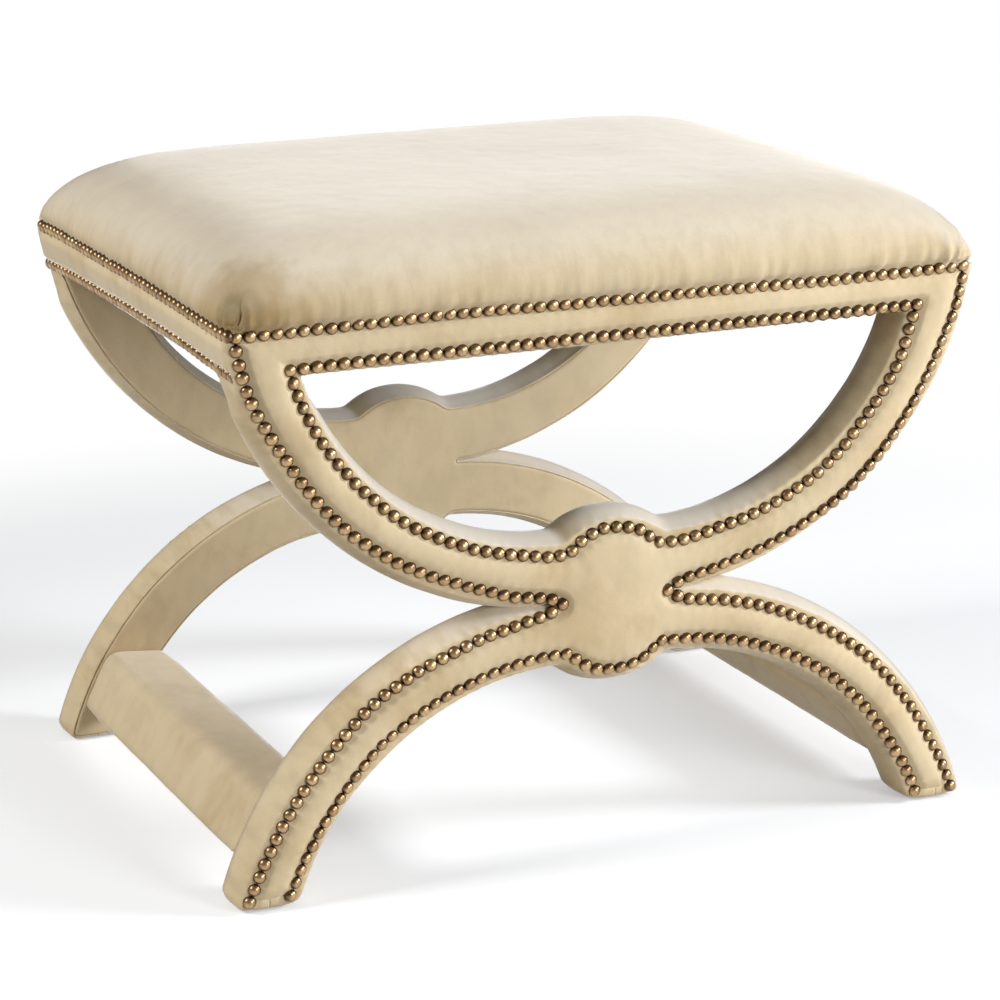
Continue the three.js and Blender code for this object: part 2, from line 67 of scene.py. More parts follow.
# %% Levels and faces of the frames
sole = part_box("front_outside_panel")[0].z
seat_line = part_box("front_outside_panel")[1].z
apron_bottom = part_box("end_band_left")[0].z
outer_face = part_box("back_top_rail")[1].y
inner_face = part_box("back_top_rail")[0].y
inside_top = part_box("back_inside_panel")[1].z
frames = {"front": -1, "back": 1}
sides = {"left": -1, "right": 1}
print(f"sole {sole:.4f}, rail {apron_bottom:.4f} to {seat_line:.4f}, timber y {inner_face:.4f} to {outer_face:.4f}")

# %% Circles of the X outline
crotch = (0.0556, 0.2231)
upper_radius, upper_centre = 0.3017, 0.0347
lower_radius, lower_centre = 0.3062, 0.0399
leg_top_width, foot_width = 0.0555, 0.0531
opening_lift, opening_centre = 0.0522, 0.0487
arch_drop, arch_centre = 0.0509, 0.0456
hub_bump = 0.0181


def rise(radius, across):
    return math.sqrt(radius**2 - across**2)


def x_at(circle, z):
    return circle[0] + rise(circle[2], z - circle[1])


def curve_through(x, height, point):
    up = point[1] - height
    radius = ((point[0] - x) ** 2 + up**2) / (2 * abs(up))
    return (x, height + math.copysign(radius, up), radius)


upper = (upper_centre, crotch[1] + rise(upper_radius, crotch[0] - upper_centre), upper_radius)
lower = (lower_centre, crotch[1] - rise(lower_radius, crotch[0] - lower_centre), lower_radius)
leg_top = (x_at(upper, apron_bottom) - leg_top_width, apron_bottom)
opening = curve_through(opening_centre, crotch[1] + opening_lift, leg_top)
foot_end = (x_at(lower, sole) - foot_width, sole)
arch = curve_through(arch_centre, crotch[1] - arch_drop, foot_end)
hub = (0.0, crotch[1], arch_drop + hub_bump)
print("circles of the X (x, z, radius):", upper, lower, opening, arch, hub)

# %% [markdown]
# ## Drawing the outline at any distance from the edge
#
# Fabric, nails and seams all run along the outline at a constant distance from it. A circle drawn in by
# that distance is still a circle, so each run is a chain of arcs and lines, cut where they meet. Every
# inset gives the same number of points, which lets one run be joined to the next.

# %% Arcs, lines and chains of them
point_step = 0.0024
corner_steps = 4


def resized(circle, change):
    return (circle[0], circle[1], circle[2] + change)


def angle_to(circle, point):
    return math.atan2(point[1] - circle[1], point[0] - circle[0])


def meeting(a, b):
    """The crossing of two circles that lies further to the right"""
    apart = Vector((b[0] - a[0], b[1] - a[1]))
    along = (a[2] ** 2 - b[2] ** 2 + apart.length_squared) / (2 * apart.length)
    across = rise(a[2], along)
    unit = apart.normalized()
    turn = 1 if unit.y > 0 else -1
    foot = Vector(a[:2]) + unit * along
    return (foot.x + turn * unit.y * across, foot.y - turn * unit.x * across)


def arc(circle, start, end):
    def place(t):
        angle = start + (end - start) * t
        return Vector((circle[0] + circle[2] * math.cos(angle), circle[1] + circle[2] * math.sin(angle)))

    return place, abs(circle[2] * (end - start))


def line(start, end):
    start, end = Vector(start), Vector(end)
    return (lambda t: start.lerp(end, t)), (end - start).length


def chain(curves, counts, reaches):
    """Points along the curves. A reach above zero rounds the corner after that curve."""
    points = []
    for i, ((place, length), count) in enumerate(zip(curves, counts)):
        before = reaches[i - 1] if i else 0
        after = reaches[i] if i < len(reaches) else 0
        first = before / length if before else 0
        last = 1 - (after / length if after else 0)
        points += [place(first + (last - first) * k / count) for k in range(count + 1)]
        if after:
            corner, entry = place(1), points[-1]
            following, next_length = curves[i + 1]
            leaving = following(after / next_length)
            for k in range(1, corner_steps):
                t = k / corner_steps
                points.append(entry * (1 - t) ** 2 + corner * 2 * t * (1 - t) + leaving * t**2)
        elif i + 1 < len(curves):
            points.pop()
    return points


def counts_for(curves):
    return [max(4, round(length / point_step)) for place, length in curves]


def flipped(points):
    """Points of one half, moved to the other half"""
    return [Vector((-p.x, p.y)) for p in points]


# %% The three runs of an X frame, right-hand half
bump_softness = 0.006
foot_radius = 0.009
least_softness = 0.0025


def arch_curves(inset, bump_inset=None):
    """From the middle of the hub's underside, along the arch, to the inner side of the foot"""
    bump, curve = resized(hub, -(bump_inset or inset)), resized(arch, inset)
    joint = meeting(bump, curve)
    floor = sole + inset
    foot = (x_at(curve, floor), floor)
    return [
        arc(bump, -math.pi / 2, angle_to(bump, joint)),
        arc(curve, angle_to(curve, joint), angle_to(curve, foot)),
    ], foot


def side_curves(inset, top):
    """From the outer side of the foot, up past the crossing, to the top of the leg"""
    low, over = resized(lower, -inset), resized(upper, -inset)
    floor = sole + inset
    foot = (x_at(low, floor), floor)
    tip = (x_at(over, top), top)
    low_crotch, high_crotch = angle_to(lower, crotch), angle_to(upper, crotch)
    return [
        arc(low, angle_to(low, foot), low_crotch),
        arc((*crotch, inset), low_crotch + math.pi, high_crotch + math.pi),
        arc(over, high_crotch, angle_to(over, tip)),
    ], foot, tip


def opening_curves(inset, level, bump_inset=None):
    """From the top of the D opening, down its curve, to the middle of the hub's top"""
    curve, bump = resized(opening, inset), resized(hub, -(bump_inset or inset))
    corner = (x_at(curve, level), level)
    joint = meeting(curve, bump)
    return [
        arc(curve, angle_to(curve, corner), angle_to(curve, joint)),
        arc(bump, angle_to(bump, joint), math.pi / 2),
    ], corner


def foot_reach(inset):
    return max(foot_radius - inset, least_softness)


def mirrored(half):
    """A whole loop from its right-hand half, which starts and ends on the middle line"""
    return half + flipped(reversed(half[1:-1]))


reference = 0.008
arch_counts = counts_for(arch_curves(reference)[0])
side_counts = counts_for(side_curves(reference, seat_line)[0])
opening_counts = counts_for(opening_curves(reference, apron_bottom)[0])
sole_count = round(foot_width / point_step)
rail_count = round(leg_top[0] / point_step)
print("points on the runs:", arch_counts, side_counts, opening_counts, sole_count, rail_count)


def outer_loop(inset, top):
    """The whole outline of an X frame, with a straight top"""
    below, inner_foot = arch_curves(inset)
    side, outer_foot, tip = side_curves(inset, top)
    curves = [*below, line(inner_foot, outer_foot), *side, line(tip, (0, top))]
    counts = [*arch_counts, sole_count, *side_counts, rail_count]
    soft = foot_reach(inset)
    return mirrored(chain(curves, counts, [bump_softness, soft, soft, 0, 0, least_softness]))


def opening_loop(inset):
    """The D opening"""
    curves, corner = opening_curves(inset, apron_bottom + inset)
    curves.insert(0, line((0, corner[1]), corner))
    return mirrored(chain(curves, [rail_count, *opening_counts], [least_softness, bump_softness]))


def prong_loop(inset, top):
    """The inside face, which ends under the rail, so the D opening cuts it open at the top"""
    below, inner_foot = arch_curves(inset)
    side, outer_foot, tip = side_curves(inset, top)
    inner, corner = opening_curves(inset, top)
    curves = [*below, line(inner_foot, outer_foot), *side, line(tip, corner), *inner]
    counts = [*arch_counts, sole_count, *side_counts, sole_count, *opening_counts]
    soft = foot_reach(inset)
    reaches = [bump_softness, soft, soft, 0, 0, least_softness, least_softness, bump_softness]
    return mirrored(chain(curves, counts, reaches))


# %% [markdown]
# ## Nails
#
# The nails come before the fabric, because each one presses the velvet down around it. A row is walked
# at the pitch of the nails, which are set so close that their heads touch. Rows along an edge sit where
# the padding rolls over, so their heads lean outwards. A dome is a profile spun about its axis, and it
# is kept to a few dozen faces, because the stool has more than nine hundred.

# %% Sizes of the nails and their rows
nail_pitch = 0.01103
nail_radius = 0.00545
nail_height = 0.0043
nail_inset = 0.008
bump_inset = 0.0092
nail_seat = 0.0041
edge_lean = math.radians(24)
rail_lean = math.radians(9)
rail_row = 0.0069
corner_nail_x = 0.3212
apex_share = 1.45
bump_margin = 0.0015

# %% How each row wanders, as it does when it is set by hand: places along it, and millimetres off
wander = {
    "top": ((-322, -256, -137, -60, 0, 100, 196, 262, 322), (0.0, 0.5, 2.3, 1.0, 0.0, -0.5, -2.1, -1.6, -0.8)),
    "rail": ((-269, -235, 0, 150, 205, 262), (-0.4, 0.8, 0.7, -0.3, -0.8, -0.6)),
    "dee": ((-262, -212, -195, -147, -81, -60, 60, 87, 97, 129, 188, 213, 227, 262, 272),
            (0.8, -0.2, 0.8, -0.4, 0.2, 2.0, 2.3, 0.5, -0.4, 0.8, 3.0, 2.0, 0.6, 2.0, -0.8)),
    "arch": ((-291, -285, -270, -243, -208, -180, -132, -64, 61, 150, 207, 240, 259, 277, 285),
             (2.6, 2.2, 0.8, 0.8, 3.6, 2.8, 1.6, 1.4, 0.2, -0.2, 0.6, -0.4, -1.6, 0.4, 0.8)),
    "upper": ((-322, -310, -300, -285, -268, -240, -203, -175, -144, -111, -88, -66,
               64, 107, 150, 180, 211, 245, 285, 304, 317, 322),
              (0.0, -1.6, 0.6, 1.8, 1.5, 0.0, 0.6, 1.9, 3.2, 2.0, -0.8, -0.8,
               0.5, 2.8, 1.1, 0.0, -2.3, -1.0, 1.4, 2.4, 0.0, 0.4)),
    "lower": ((-326, -316, -301, -283, -247, -213, -173, -143, -89, -66,
               64, 85, 140, 165, 209, 237, 273, 303, 318, 324),
              (-1.6, 0.8, 1.5, 1.8, 0.6, -2.2, -0.6, 1.2, 0.8, -1.4,
               0.4, 1.3, 0.8, 2.0, 0.6, -0.2, 1.8, 2.8, 0.8, -0.2)),
    "bump": ((-39, -13, 20, 33), (0.4, -1.4, -0.3, 2.2)),
    "bump_below": ((-42, -13, 9, 20, 38), (0.5, -1.6, 0.2, -1.0, 2.0)),
    "end_top": ((-262, -235, -200, -148, -90, 0, 90, 200, 260), (1.6, 0.7, 1.3, 3.0, 4.0, 4.6, 4.2, 4.1, 1.2)),
    "end_low": ((-250, -226, -190, -158, -123, -50, 0, 40, 74, 117, 161, 206, 261),
                (1.9, 2.6, 3.6, 5.5, 7.2, 8.2, 8.4, 8.1, 7.0, 6.5, 5.8, 3.6, 1.4)),
}


def off_row(row, along):
    """How far a row wanders, in metres, at a place along it in metres"""
    return float(np.interp(along * 1000, *wander[row])) / 1000


def spaced(points, ends=(True, True)):
    """Points at the nails' pitch along a path, fitted to its length"""
    steps = [(b - a).length for a, b in zip(points, points[1:])]
    total = sum(steps)
    count = max(1, round(total / nail_pitch))
    wanted = [total * k / count for k in range(count + 1)]
    if not ends[0]:
        wanted = wanted[1:]
    if not ends[1]:
        wanted = wanted[:-1]
    found, walked, i = [], 0.0, 0
    for distance in wanted:
        while i + 1 < len(steps) and walked + steps[i] < distance:
            walked += steps[i]
            i += 1
        found.append(points[i].lerp(points[i + 1], (distance - walked) / steps[i]))
    return found


def reverse(curve):
    place, length = curve
    return (lambda t: place(1 - t)), length


def mirrored_path(half):
    """A path over both sides, from its right-hand half, which ends on the middle line"""
    return half + flipped(reversed(half[:-1]))


def leaning(points, centre, way, lean):
    """Pairs each nail with the way its head leans: 1 is away from a centre, -1 is towards it"""
    return [(p, (p - Vector(centre[:2])).normalized() * way * math.sin(lean)) for p in points]


def drawn_in(row, points, circle, way, side=0):
    """Moves a row off its edge by its wander. The edge is a circle, and way is 1 inside it."""
    moved = []
    for p in points:
        centre = Vector(((side or math.copysign(1, p.x)) * circle[0], circle[1]))
        moved.append(p - (p - centre).normalized() * way * off_row(row, p.x))
    return moved


def edge_row(row, path, circle, ends):
    """A row that runs along a circle on both sides and over the hub's bump between them"""
    reach = hub[2] - bump_inset + bump_margin
    far = [(p - Vector(hub[:2])).length > reach for p in path]
    first, last = far.index(False), len(far) - far[::-1].index(False)
    bump_row = "bump" if path[first].y > hub[1] else "bump_below"
    left = drawn_in(row, path[:first], circle, -1, -1)
    right = drawn_in(row, path[last:], circle, -1, 1)
    points = spaced(left + drawn_in(bump_row, path[first:last], hub, 1) + right, ends)
    on_bump = [p for p in points if left[-1].x < p.x < right[0].x]
    nails = leaning(on_bump, hub, 1, edge_lean)
    for side in (-1, 1):
        one_side = [p for p in points if p not in on_bump and p.x * side > 0]
        nails += leaning(one_side, (side * circle[0], circle[1]), -1, edge_lean)
    return nails


def outer_rows(side):
    """The rows on one outer side of an X: up to the crossing, and on to the corner of the rail"""
    run, foot, tip = side_curves(nail_inset, seat_line)
    apex = Vector((side * (crotch[0] - nail_inset), crotch[1]))
    corner = Vector((side * corner_nail_x, seat_line + off_row("top", side * corner_nail_x)))
    nails = []
    for k, row, circle in ((0, "lower", lower), (2, "upper", upper)):
        path = [Vector((side * p.x, p.y)) for p in chain([run[k]], [side_counts[k]], [])]
        path = drawn_in(row, path, circle, 1, side)
        path = [p for p in path if (p - apex).length > apex_share * nail_pitch and p.y < seat_line - nail_pitch]
        path = path + [apex] if row == "lower" else [apex] + path + [corner]
        nails += leaning(spaced(path, (True, False)), (side * circle[0], circle[1]), 1, edge_lean)
    return nails


def face_rows():
    """Nails on one outside face, each as its place (x, z) and the way in which it leans"""
    below, inner_foot = arch_curves(nail_inset, bump_inset)
    row_level = apron_bottom + rail_row
    inner, corner = opening_curves(nail_inset, row_level, bump_inset)
    top = spaced([Vector((-corner_nail_x, seat_line)), Vector((corner_nail_x, seat_line))])
    rail = spaced([Vector((-corner[0], row_level)), Vector(corner)])
    for row, points in (("top", top), ("rail", rail)):
        for p in points:
            p.y += off_row(row, p.x)
    dee = flipped(mirrored_path(chain(inner, opening_counts, [0])))
    upwards = chain([reverse(curve) for curve in reversed(below)], arch_counts[::-1], [0])
    arch_row = flipped(mirrored_path(upwards))
    flat = leaning(top, (0, 0), 1, 0) + leaning(rail, (0, 10), -1, -rail_lean)
    rows = flat + edge_row("dee", dee, opening, (False, False)) + edge_row("arch", arch_row, arch, (True, True))
    return rows + outer_rows(-1) + outer_rows(1)


face_nails = face_rows()
print("nails on each outside face:", len(face_nails))

# %% Rows of nails on the two ends
end_nail_seat = -0.0034
end_rows_reach = {
    "end_top": {-1: (-0.2550, 0.2440), 1: (-0.2350, 0.2440)},
    "end_low": {-1: (-0.2410, 0.2530), 1: (-0.2410, 0.2530)},
}
end_row_level = {"end_top": seat_line, "end_low": apron_bottom}


def smooth_step(t):
    t = min(max(t, 0.0), 1.0)
    return t * t * (3 - 2 * t)


def end_point(side, y, z, proud):
    """A point off the end face, which leans with the upper circle, and the way that face looks"""
    angle = math.asin((z - upper[1]) / upper[2])
    radius = upper[2] + proud
    place = Vector((side * (upper[0] + radius * math.cos(angle)), y, upper[1] + radius * math.sin(angle)))
    return place, Vector((side * math.cos(angle), 0, math.sin(angle)))


def end_level(row, y):
    return end_row_level[row] + off_row(row, y)


def end_nails(side):
    nails = []
    for row, reach in end_rows_reach.items():
        start, end = reach[side]
        for p in spaced([Vector((start, 0)), Vector((end, 0))]):
            nails.append(end_point(side, p.x, end_level(row, p.x), end_nail_seat))
    return nails


# %% All the nails, as places and directions
def on_face(face):
    """The rows of an outside face. face is -1 for the front frame and 1 for the back one."""
    return [
        (Vector((p.x, face * (outer_face + nail_seat), p.y)), Vector((way.x, face * rise(1, way.length), way.y)))
        for p, way in face_nails
    ]


nail_sets = {
    "nails_front": on_face(-1),
    "nails_back": on_face(1),
    "nails_left_end": end_nails(-1),
    "nails_right_end": end_nails(1),
}
nail_tree = kdtree.KDTree(sum(len(nails) for nails in nail_sets.values()))
for place, facing in [nail for nails in nail_sets.values() for nail in nails]:
    nail_tree.insert(place, 0)
nail_tree.balance()
print("nails in all:", {name: len(nails) for name, nails in nail_sets.items()})

# %% [markdown]
# ## Finishes
#
# Velvet is a pile of short upright fibres. Seen face on it shows its own warm colour, and seen at a
# slant its tips catch the light and turn pale, which is what the sheen lobe of the shader does. On top
# of that a sheen is painted: faces that look up, or up and to the right, are mixed towards a pale colour
# as if lit. Strokes of a hand leave patches where the pile leans another way, so the colour wanders in
# long soft streaks, which break up the painted sheen too.

# %% Helpers for node materials
def node(tree, kind, inputs=None, **settings):
    """Adds a node. An input is given a value or the output that feeds it, and a colour is red, green, blue."""
    made = tree.nodes.new(kind)
    for name, value in settings.items():
        setattr(made, name, value)
    for name, value in (inputs or {}).items():
        socket = made.inputs[name]
        if isinstance(value, bpy.types.NodeSocket):
            tree.links.new(value, socket)
        else:
            socket.default_value = (*value, 1) if socket.type == "RGBA" else value
    return made


def emptied(owner):
    """The node tree of a new material or world, with nothing in it"""
    owner.use_nodes = True
    owner.node_tree.nodes.clear()
    return owner.node_tree


def new_material(name):
    material = bpy.data.materials.new(name)
    tree = emptied(material)
    shader = node(tree, "ShaderNodeBsdfPrincipled")
    node(tree, "ShaderNodeOutputMaterial", {"Surface": shader.outputs["BSDF"]})
    return material, tree, shader, node(tree, "ShaderNodeTexCoord").outputs["Object"]


def noise_field(tree, place, stretch, scale, detail=3.0, roughness=0.55, distortion=0.0):
    """A noise texture on stretched object coordinates"""
    mapping = node(tree, "ShaderNodeMapping", {"Scale": stretch, "Vector": place})
    inputs = {"Scale": scale, "Detail": detail, "Roughness": roughness, "Distortion": distortion}
    return node(tree, "ShaderNodeTexNoise", {**inputs, "Vector": mapping.outputs["Vector"]}).outputs["Fac"]


def ramp(tree, factor, *stops):
    """Colours by factor, from (place, colour) stops, where a number stands for a grey"""
    made = node(tree, "ShaderNodeValToRGB", {"Fac": factor})
    made.color_ramp.interpolation = "EASE"
    while len(made.color_ramp.elements) < len(stops):
        made.color_ramp.elements.new(0.5)
    for element, (place, colour) in zip(made.color_ramp.elements, stops):
        element.position = place
        element.color = (*colour, 1) if isinstance(colour, tuple) else (colour, colour, colour, 1)
    return made.outputs["Color"]


def mixed(tree, kind, factor, a, b):
    """Two colours mixed, where factor, a and b are a socket or a value"""
    return node(tree, "ShaderNodeMix", {0: factor, 6: a, 7: b}, data_type="RGBA", blend_type=kind).outputs[2]


def multiplied(tree, a, b):
    return mixed(tree, "MULTIPLY", 1.0, a, b)


def bumped(tree, shader, *heights):
    """Chains bumps of (height socket, strength, distance) into the shader's normal"""
    normal = {}
    for height, strength, distance in heights:
        bump = node(tree, "ShaderNodeBump", {"Height": height, "Strength": strength, "Distance": distance, **normal})
        normal = {"Normal": bump.outputs["Normal"]}
    tree.links.new(normal["Normal"], shader.inputs["Normal"])


# %% Velvet
velvet_light = (0.81, 0.68, 0.465)
velvet_body = (0.775, 0.64, 0.425)
velvet_shade = (0.68, 0.54, 0.335)
# Pale colour mixed in as painted sheen on faces turned towards the light
velvet_painted_sheen = (0.82, 0.785, 0.725)
# Darker tones of the seat's front left corner: brushed pile, with painted shade of the fold there
velvet_brushed_and_shaded = (0.68, 0.61, 0.49)
velvet_crushed_and_shaded = (0.42, 0.37, 0.275)
pile_scale = 1500.0
pile_height = 0.0004
stroke_share = 0.35


def velvet(name, streak, patch, contrast, painted_light_way, sheen_paint_from, sheen_paint_share):
    """Velvet whose nap streaks run along the axis on which streak is smallest, with a painted sheen that pales the
    faces turned along the given way
    """
    material, tree, shader, place = new_material(name)
    wide = noise_field(tree, place, patch, 1.0, 4.0, 0.6, 0.4)
    body = ramp(tree, wide, (0.32, velvet_shade), (0.5, velvet_body), (0.68, velvet_light))
    strokes = noise_field(tree, place, streak, 1.0, 3.0, 0.5, 0.3)
    colour = multiplied(tree, body, ramp(tree, strokes, (0.3, 1 - contrast), (0.62, 1.0)))
    # Painted sheen: the more a face turns along the given way, and the lighter its streak, the more its colour is
    # mixed towards the pale one
    normal = node(tree, "ShaderNodeNewGeometry").outputs["Normal"]
    facing = node(tree, "ShaderNodeVectorMath", {0: normal, 1: painted_light_way}, operation="DOT_PRODUCT").outputs["Value"]
    terms = {0: strokes, 1: stroke_share, 2: facing}
    sheen_paint_mask = node(tree, "ShaderNodeMath", terms, operation="MULTIPLY_ADD").outputs[0]
    sheen_paint = ramp(tree, sheen_paint_mask, (sheen_paint_from, 0.0), (1.0, sheen_paint_share))
    colour = mixed(tree, "MIX", sheen_paint, colour, velvet_painted_sheen)
    grain = noise_field(tree, place, (1, 1, 1), pile_scale / 2, 2.0)
    colour = multiplied(tree, colour, ramp(tree, grain, (0.25, 0.95), (0.75, 1.0)))
    tree.links.new(colour, shader.inputs["Base Color"])
    shader.inputs["Roughness"].default_value = 0.92
    shader.inputs["Specular IOR Level"].default_value = 0.12
    shader.inputs["Sheen Weight"].default_value = 0.9
    shader.inputs["Sheen Roughness"].default_value = 0.35
    shader.inputs["Sheen Tint"].default_value = (1.0, 0.98, 0.96, 1)
    pile = noise_field(tree, place, (1, 1, 1), pile_scale, 2.0)
    bumped(tree, shader, (strokes, 0.22, 0.0012), (pile, 0.35, pile_height))
    return material, tree, shader, place, colour


# The last three numbers set the painted sheen: the way it faces, where it starts and how strong it gets
velvet_face = velvet("velvet_face", (60, 60, 30), (11, 11, 11), 0.06, (0, 0, 1), 0.6, 0.1)[0]
velvet_band = velvet("velvet_band", (70, 16, 70), (16, 12, 16), 0.12, (0.45, -0.1, 0.89), 0.6, 0.75)[0]
print("velvets:", velvet_face.name, velvet_band.name)

# %% Velvet of the seat
# Round the seat's front left corner the colour is darker: the pile is brushed the other way there, and the shade of
# the fold over the corner nail is painted in, darkest at its core
shaded_brushed_corner = (-0.326, -0.258, 0.494)
shaded_brushed_reach = 0.085
ragged_by = 0.05
seat_tone = 0.93


def seat_velvet():
    """The seat's nap lies the other way round one corner, where a hand has brushed it, and shade is painted there,
    darkest in the fold over the corner nail
    """
    # streaks, patches, contrast, and the way, start and strength of the painted sheen
    nap_and_painted_sheen = ((85, 85, 11), (7, 7, 9), 0.09, (-0.1, 0, 0.95), 0.3, 0.54)
    material, tree, shader, place, colour = velvet("velvet_seat", *nap_and_painted_sheen)
    away = node(tree, "ShaderNodeVectorMath", {0: place, 1: shaded_brushed_corner}, operation="DISTANCE").outputs["Value"]
    terms = {0: noise_field(tree, place, (60, 60, 18), 1.0, 2.0), 1: ragged_by, 2: away}
    ragged = node(tree, "ShaderNodeMath", terms, operation="MULTIPLY_ADD").outputs[0]
    # painted shade darkest near the corner fold, then the brushed tone, then the seat's own tone
    stops = (0.026, velvet_crushed_and_shaded), (0.060, velvet_brushed_and_shaded), (shaded_brushed_reach + 0.022, seat_tone)
    tree.links.new(multiplied(tree, colour, ramp(tree, ragged, *stops)), shader.inputs["Base Color"])
    weight = ramp(tree, ragged, (0.03, 0.5), (shaded_brushed_reach + 0.02, 0.9))
    tree.links.new(weight, shader.inputs["Sheen Weight"])
    return material


velvet_seat = seat_velvet()
print("velvet of the seat:", velvet_seat.name)

# %% Antique brass
brass_bright = (0.55, 0.39, 0.225)
brass_dark = (0.19, 0.125, 0.07)


def antique_brass(name):
    """Brass with a brown patina, thickest at the rim, where the cloth that polished it can't reach"""
    material, tree, shader, place = new_material(name)
    uv = node(tree, "ShaderNodeUVMap", uv_map="nail").outputs["UV"]
    parts = node(tree, "ShaderNodeSeparateXYZ", {"Vector": uv}).outputs
    worn = ramp(tree, parts["X"], (0.5, brass_bright), (1.0, brass_dark))
    each = ramp(tree, parts["Y"], (0.0, (0.8, 0.76, 0.72)), (1.0, (1.1, 1.08, 1.04)))
    cloud = noise_field(tree, place, (1, 1, 1), 520.0, 3.0, 0.6)
    spots = ramp(tree, cloud, (0.3, (0.72, 0.67, 0.62)), (0.6, 1.0))
    colour = multiplied(tree, multiplied(tree, worn, each), spots)
    tree.links.new(colour, shader.inputs["Base Color"])
    shader.inputs["Metallic"].default_value = 1.0
    shader.inputs["Roughness"].default_value = 0.35
    bumped(tree, shader, (cloud, 0.2, 0.0002))
    return material


brass = antique_brass("antique_brass")
print("metal:", brass.name)

# %% Timber, plywood, foam and lining cloth
def timber(name, rings, light, dark):
    """Straight-grained timber, with the grain along X"""
    material, tree, shader, place = new_material(name)
    grain = noise_field(tree, place, rings, 1.0, 6.0, 0.6, 0.6)
    fibres = noise_field(tree, place, (40, 900, 900), 1.0, 2.0)
    colour = multiplied(
        tree, ramp(tree, grain, (0.35, dark), (0.62, light)), ramp(tree, fibres, (0.3, 0.85), (0.6, 1.0))
    )
    tree.links.new(colour, shader.inputs["Base Color"])
    shader.inputs["Roughness"].default_value = 0.68
    bumped(tree, shader, (fibres, 0.25, 0.0003))
    return material


def open_cell_foam():
    material, tree, shader, place = new_material("foam")
    cells = noise_field(tree, place, (1, 1, 1), 900.0, 3.0, 0.7)
    colour = ramp(tree, cells, (0.3, (0.70, 0.60, 0.34)), (0.6, (0.88, 0.80, 0.55)))
    tree.links.new(colour, shader.inputs["Base Color"])
    shader.inputs["Roughness"].default_value = 1.0
    shader.inputs["Specular IOR Level"].default_value = 0.05
    bumped(tree, shader, (cells, 0.6, 0.0008))
    return material


def lining_cloth():
    """Thin black cloth, bonded from fibres, with a faint grid of rolled dimples"""
    material, tree, shader, place = new_material("dust_cover_cloth")
    fibres = noise_field(tree, place, (1, 1, 1), 700.0, 5.0, 0.7)
    tree.links.new(ramp(tree, fibres, (0.3, 0.012), (0.7, 0.035)), shader.inputs["Base Color"])
    grid = {"Scale": 420.0, "Randomness": 0.1, "Vector": place}
    dimples = node(tree, "ShaderNodeTexVoronoi", grid).outputs["Distance"]
    shader.inputs["Roughness"].default_value = 0.9
    bumped(tree, shader, (dimples, 0.3, 0.0005), (fibres, 0.3, 0.0003))
    return material


wood = timber("timber", (6, 90, 90), (0.63, 0.43, 0.24), (0.42, 0.26, 0.13))
plywood = timber("plywood", (5, 30, 700), (0.68, 0.50, 0.31), (0.50, 0.33, 0.18))
foam = open_cell_foam()
lining = lining_cloth()
print("hidden finishes:", wood.name, plywood.name, foam.name, lining.name)

# %% [markdown]
# ## Skins of fabric
#
# Each skin is a stack of rings. The first is drawn with new points, and each next one is extruded from
# it and moved to its place, so the faces between them come from the operator. When the last ring has
# met the first again, the skin is a closed tube of fabric with the thickness of its padding.

# %% Rings and skins
seam_gap = 0.00001


def points_of(made):
    """The points among what an operator made"""
    return [item for item in made if isinstance(item, bmesh.types.BMVert)]


def rim_of(bm):
    """The open edges"""
    return [edge for edge in bm.edges if edge.is_boundary]


def everything(bm):
    return bm.verts[:] + bm.edges[:] + bm.faces[:]


def closed_below(bm, depth):
    """Draws the rim down by a depth and closes it there"""
    wall = bmesh.ops.extrude_edge_only(bm, edges=rim_of(bm))["geom"]
    bmesh.ops.translate(bm, verts=points_of(wall), vec=(0, 0, -depth))
    bmesh.ops.contextual_create(bm, geom=rim_of(bm))


def first_ring(bm, places, closed):
    verts = [bm.verts.new(place) for place in places]
    pairs = zip(verts, verts[1:] + verts[:1] if closed else verts[1:])
    return verts, [bm.edges.new(pair) for pair in pairs]


def next_ring(bm, ring, places):
    """Extrudes a ring and moves the new points to their places"""
    verts, edges = ring
    made = bmesh.ops.extrude_edge_only(bm, edges=edges)["geom"]
    fresh = set(points_of(made))
    moved = []
    for vert, place in zip(verts, places):
        twin = next(edge.other_vert(vert) for edge in vert.link_edges if edge.other_vert(vert) in fresh)
        twin.co = place
        moved.append(twin)
    new_edges = [e for e in made if isinstance(e, bmesh.types.BMEdge) and all(v in fresh for v in e.verts)]
    return moved, new_edges


def skin(bm, rings, closed):
    """Grows a skin through a list of rings, and returns its first and last ring"""
    start = ring = first_ring(bm, rings[0], closed)
    for places in rings[1:]:
        ring = next_ring(bm, ring, places)
    return start, ring


# %% From a skin to an object
def new_object(bm, name, material):
    mesh = bpy.data.meshes.new(name)
    bm.to_mesh(mesh)
    bm.free()
    piece = bpy.data.objects.new(name, mesh)
    bpy.context.scene.collection.objects.link(piece)
    piece.data.materials.append(material)
    return piece


def finish_piece(bm, name, material):
    """Closes seams, turns the faces out and makes the object"""
    bmesh.ops.remove_doubles(bm, verts=bm.verts[:], dist=seam_gap)
    bmesh.ops.dissolve_degenerate(bm, edges=bm.edges[:], dist=seam_gap)
    bmesh.ops.recalc_face_normals(bm, faces=bm.faces[:])
    for face in bm.faces:
        face.smooth = True
    return new_object(bm, name, material)


def dress(piece, slot, *nodes):
    """Says what a piece rides on and stands for, and takes a slot that is not used"""
    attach(piece, "root")
    if nodes:
        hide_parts(*nodes)
    print(f"{piece.name}: {len(piece.data.polygons)} faces")


def thickened(piece, thickness, offset):
    """Gives a single sheet of fabric its thickness"""
    wall = piece.modifiers.new("Thickness", "SOLIDIFY")
    wall.thickness, wall.offset = thickness, offset


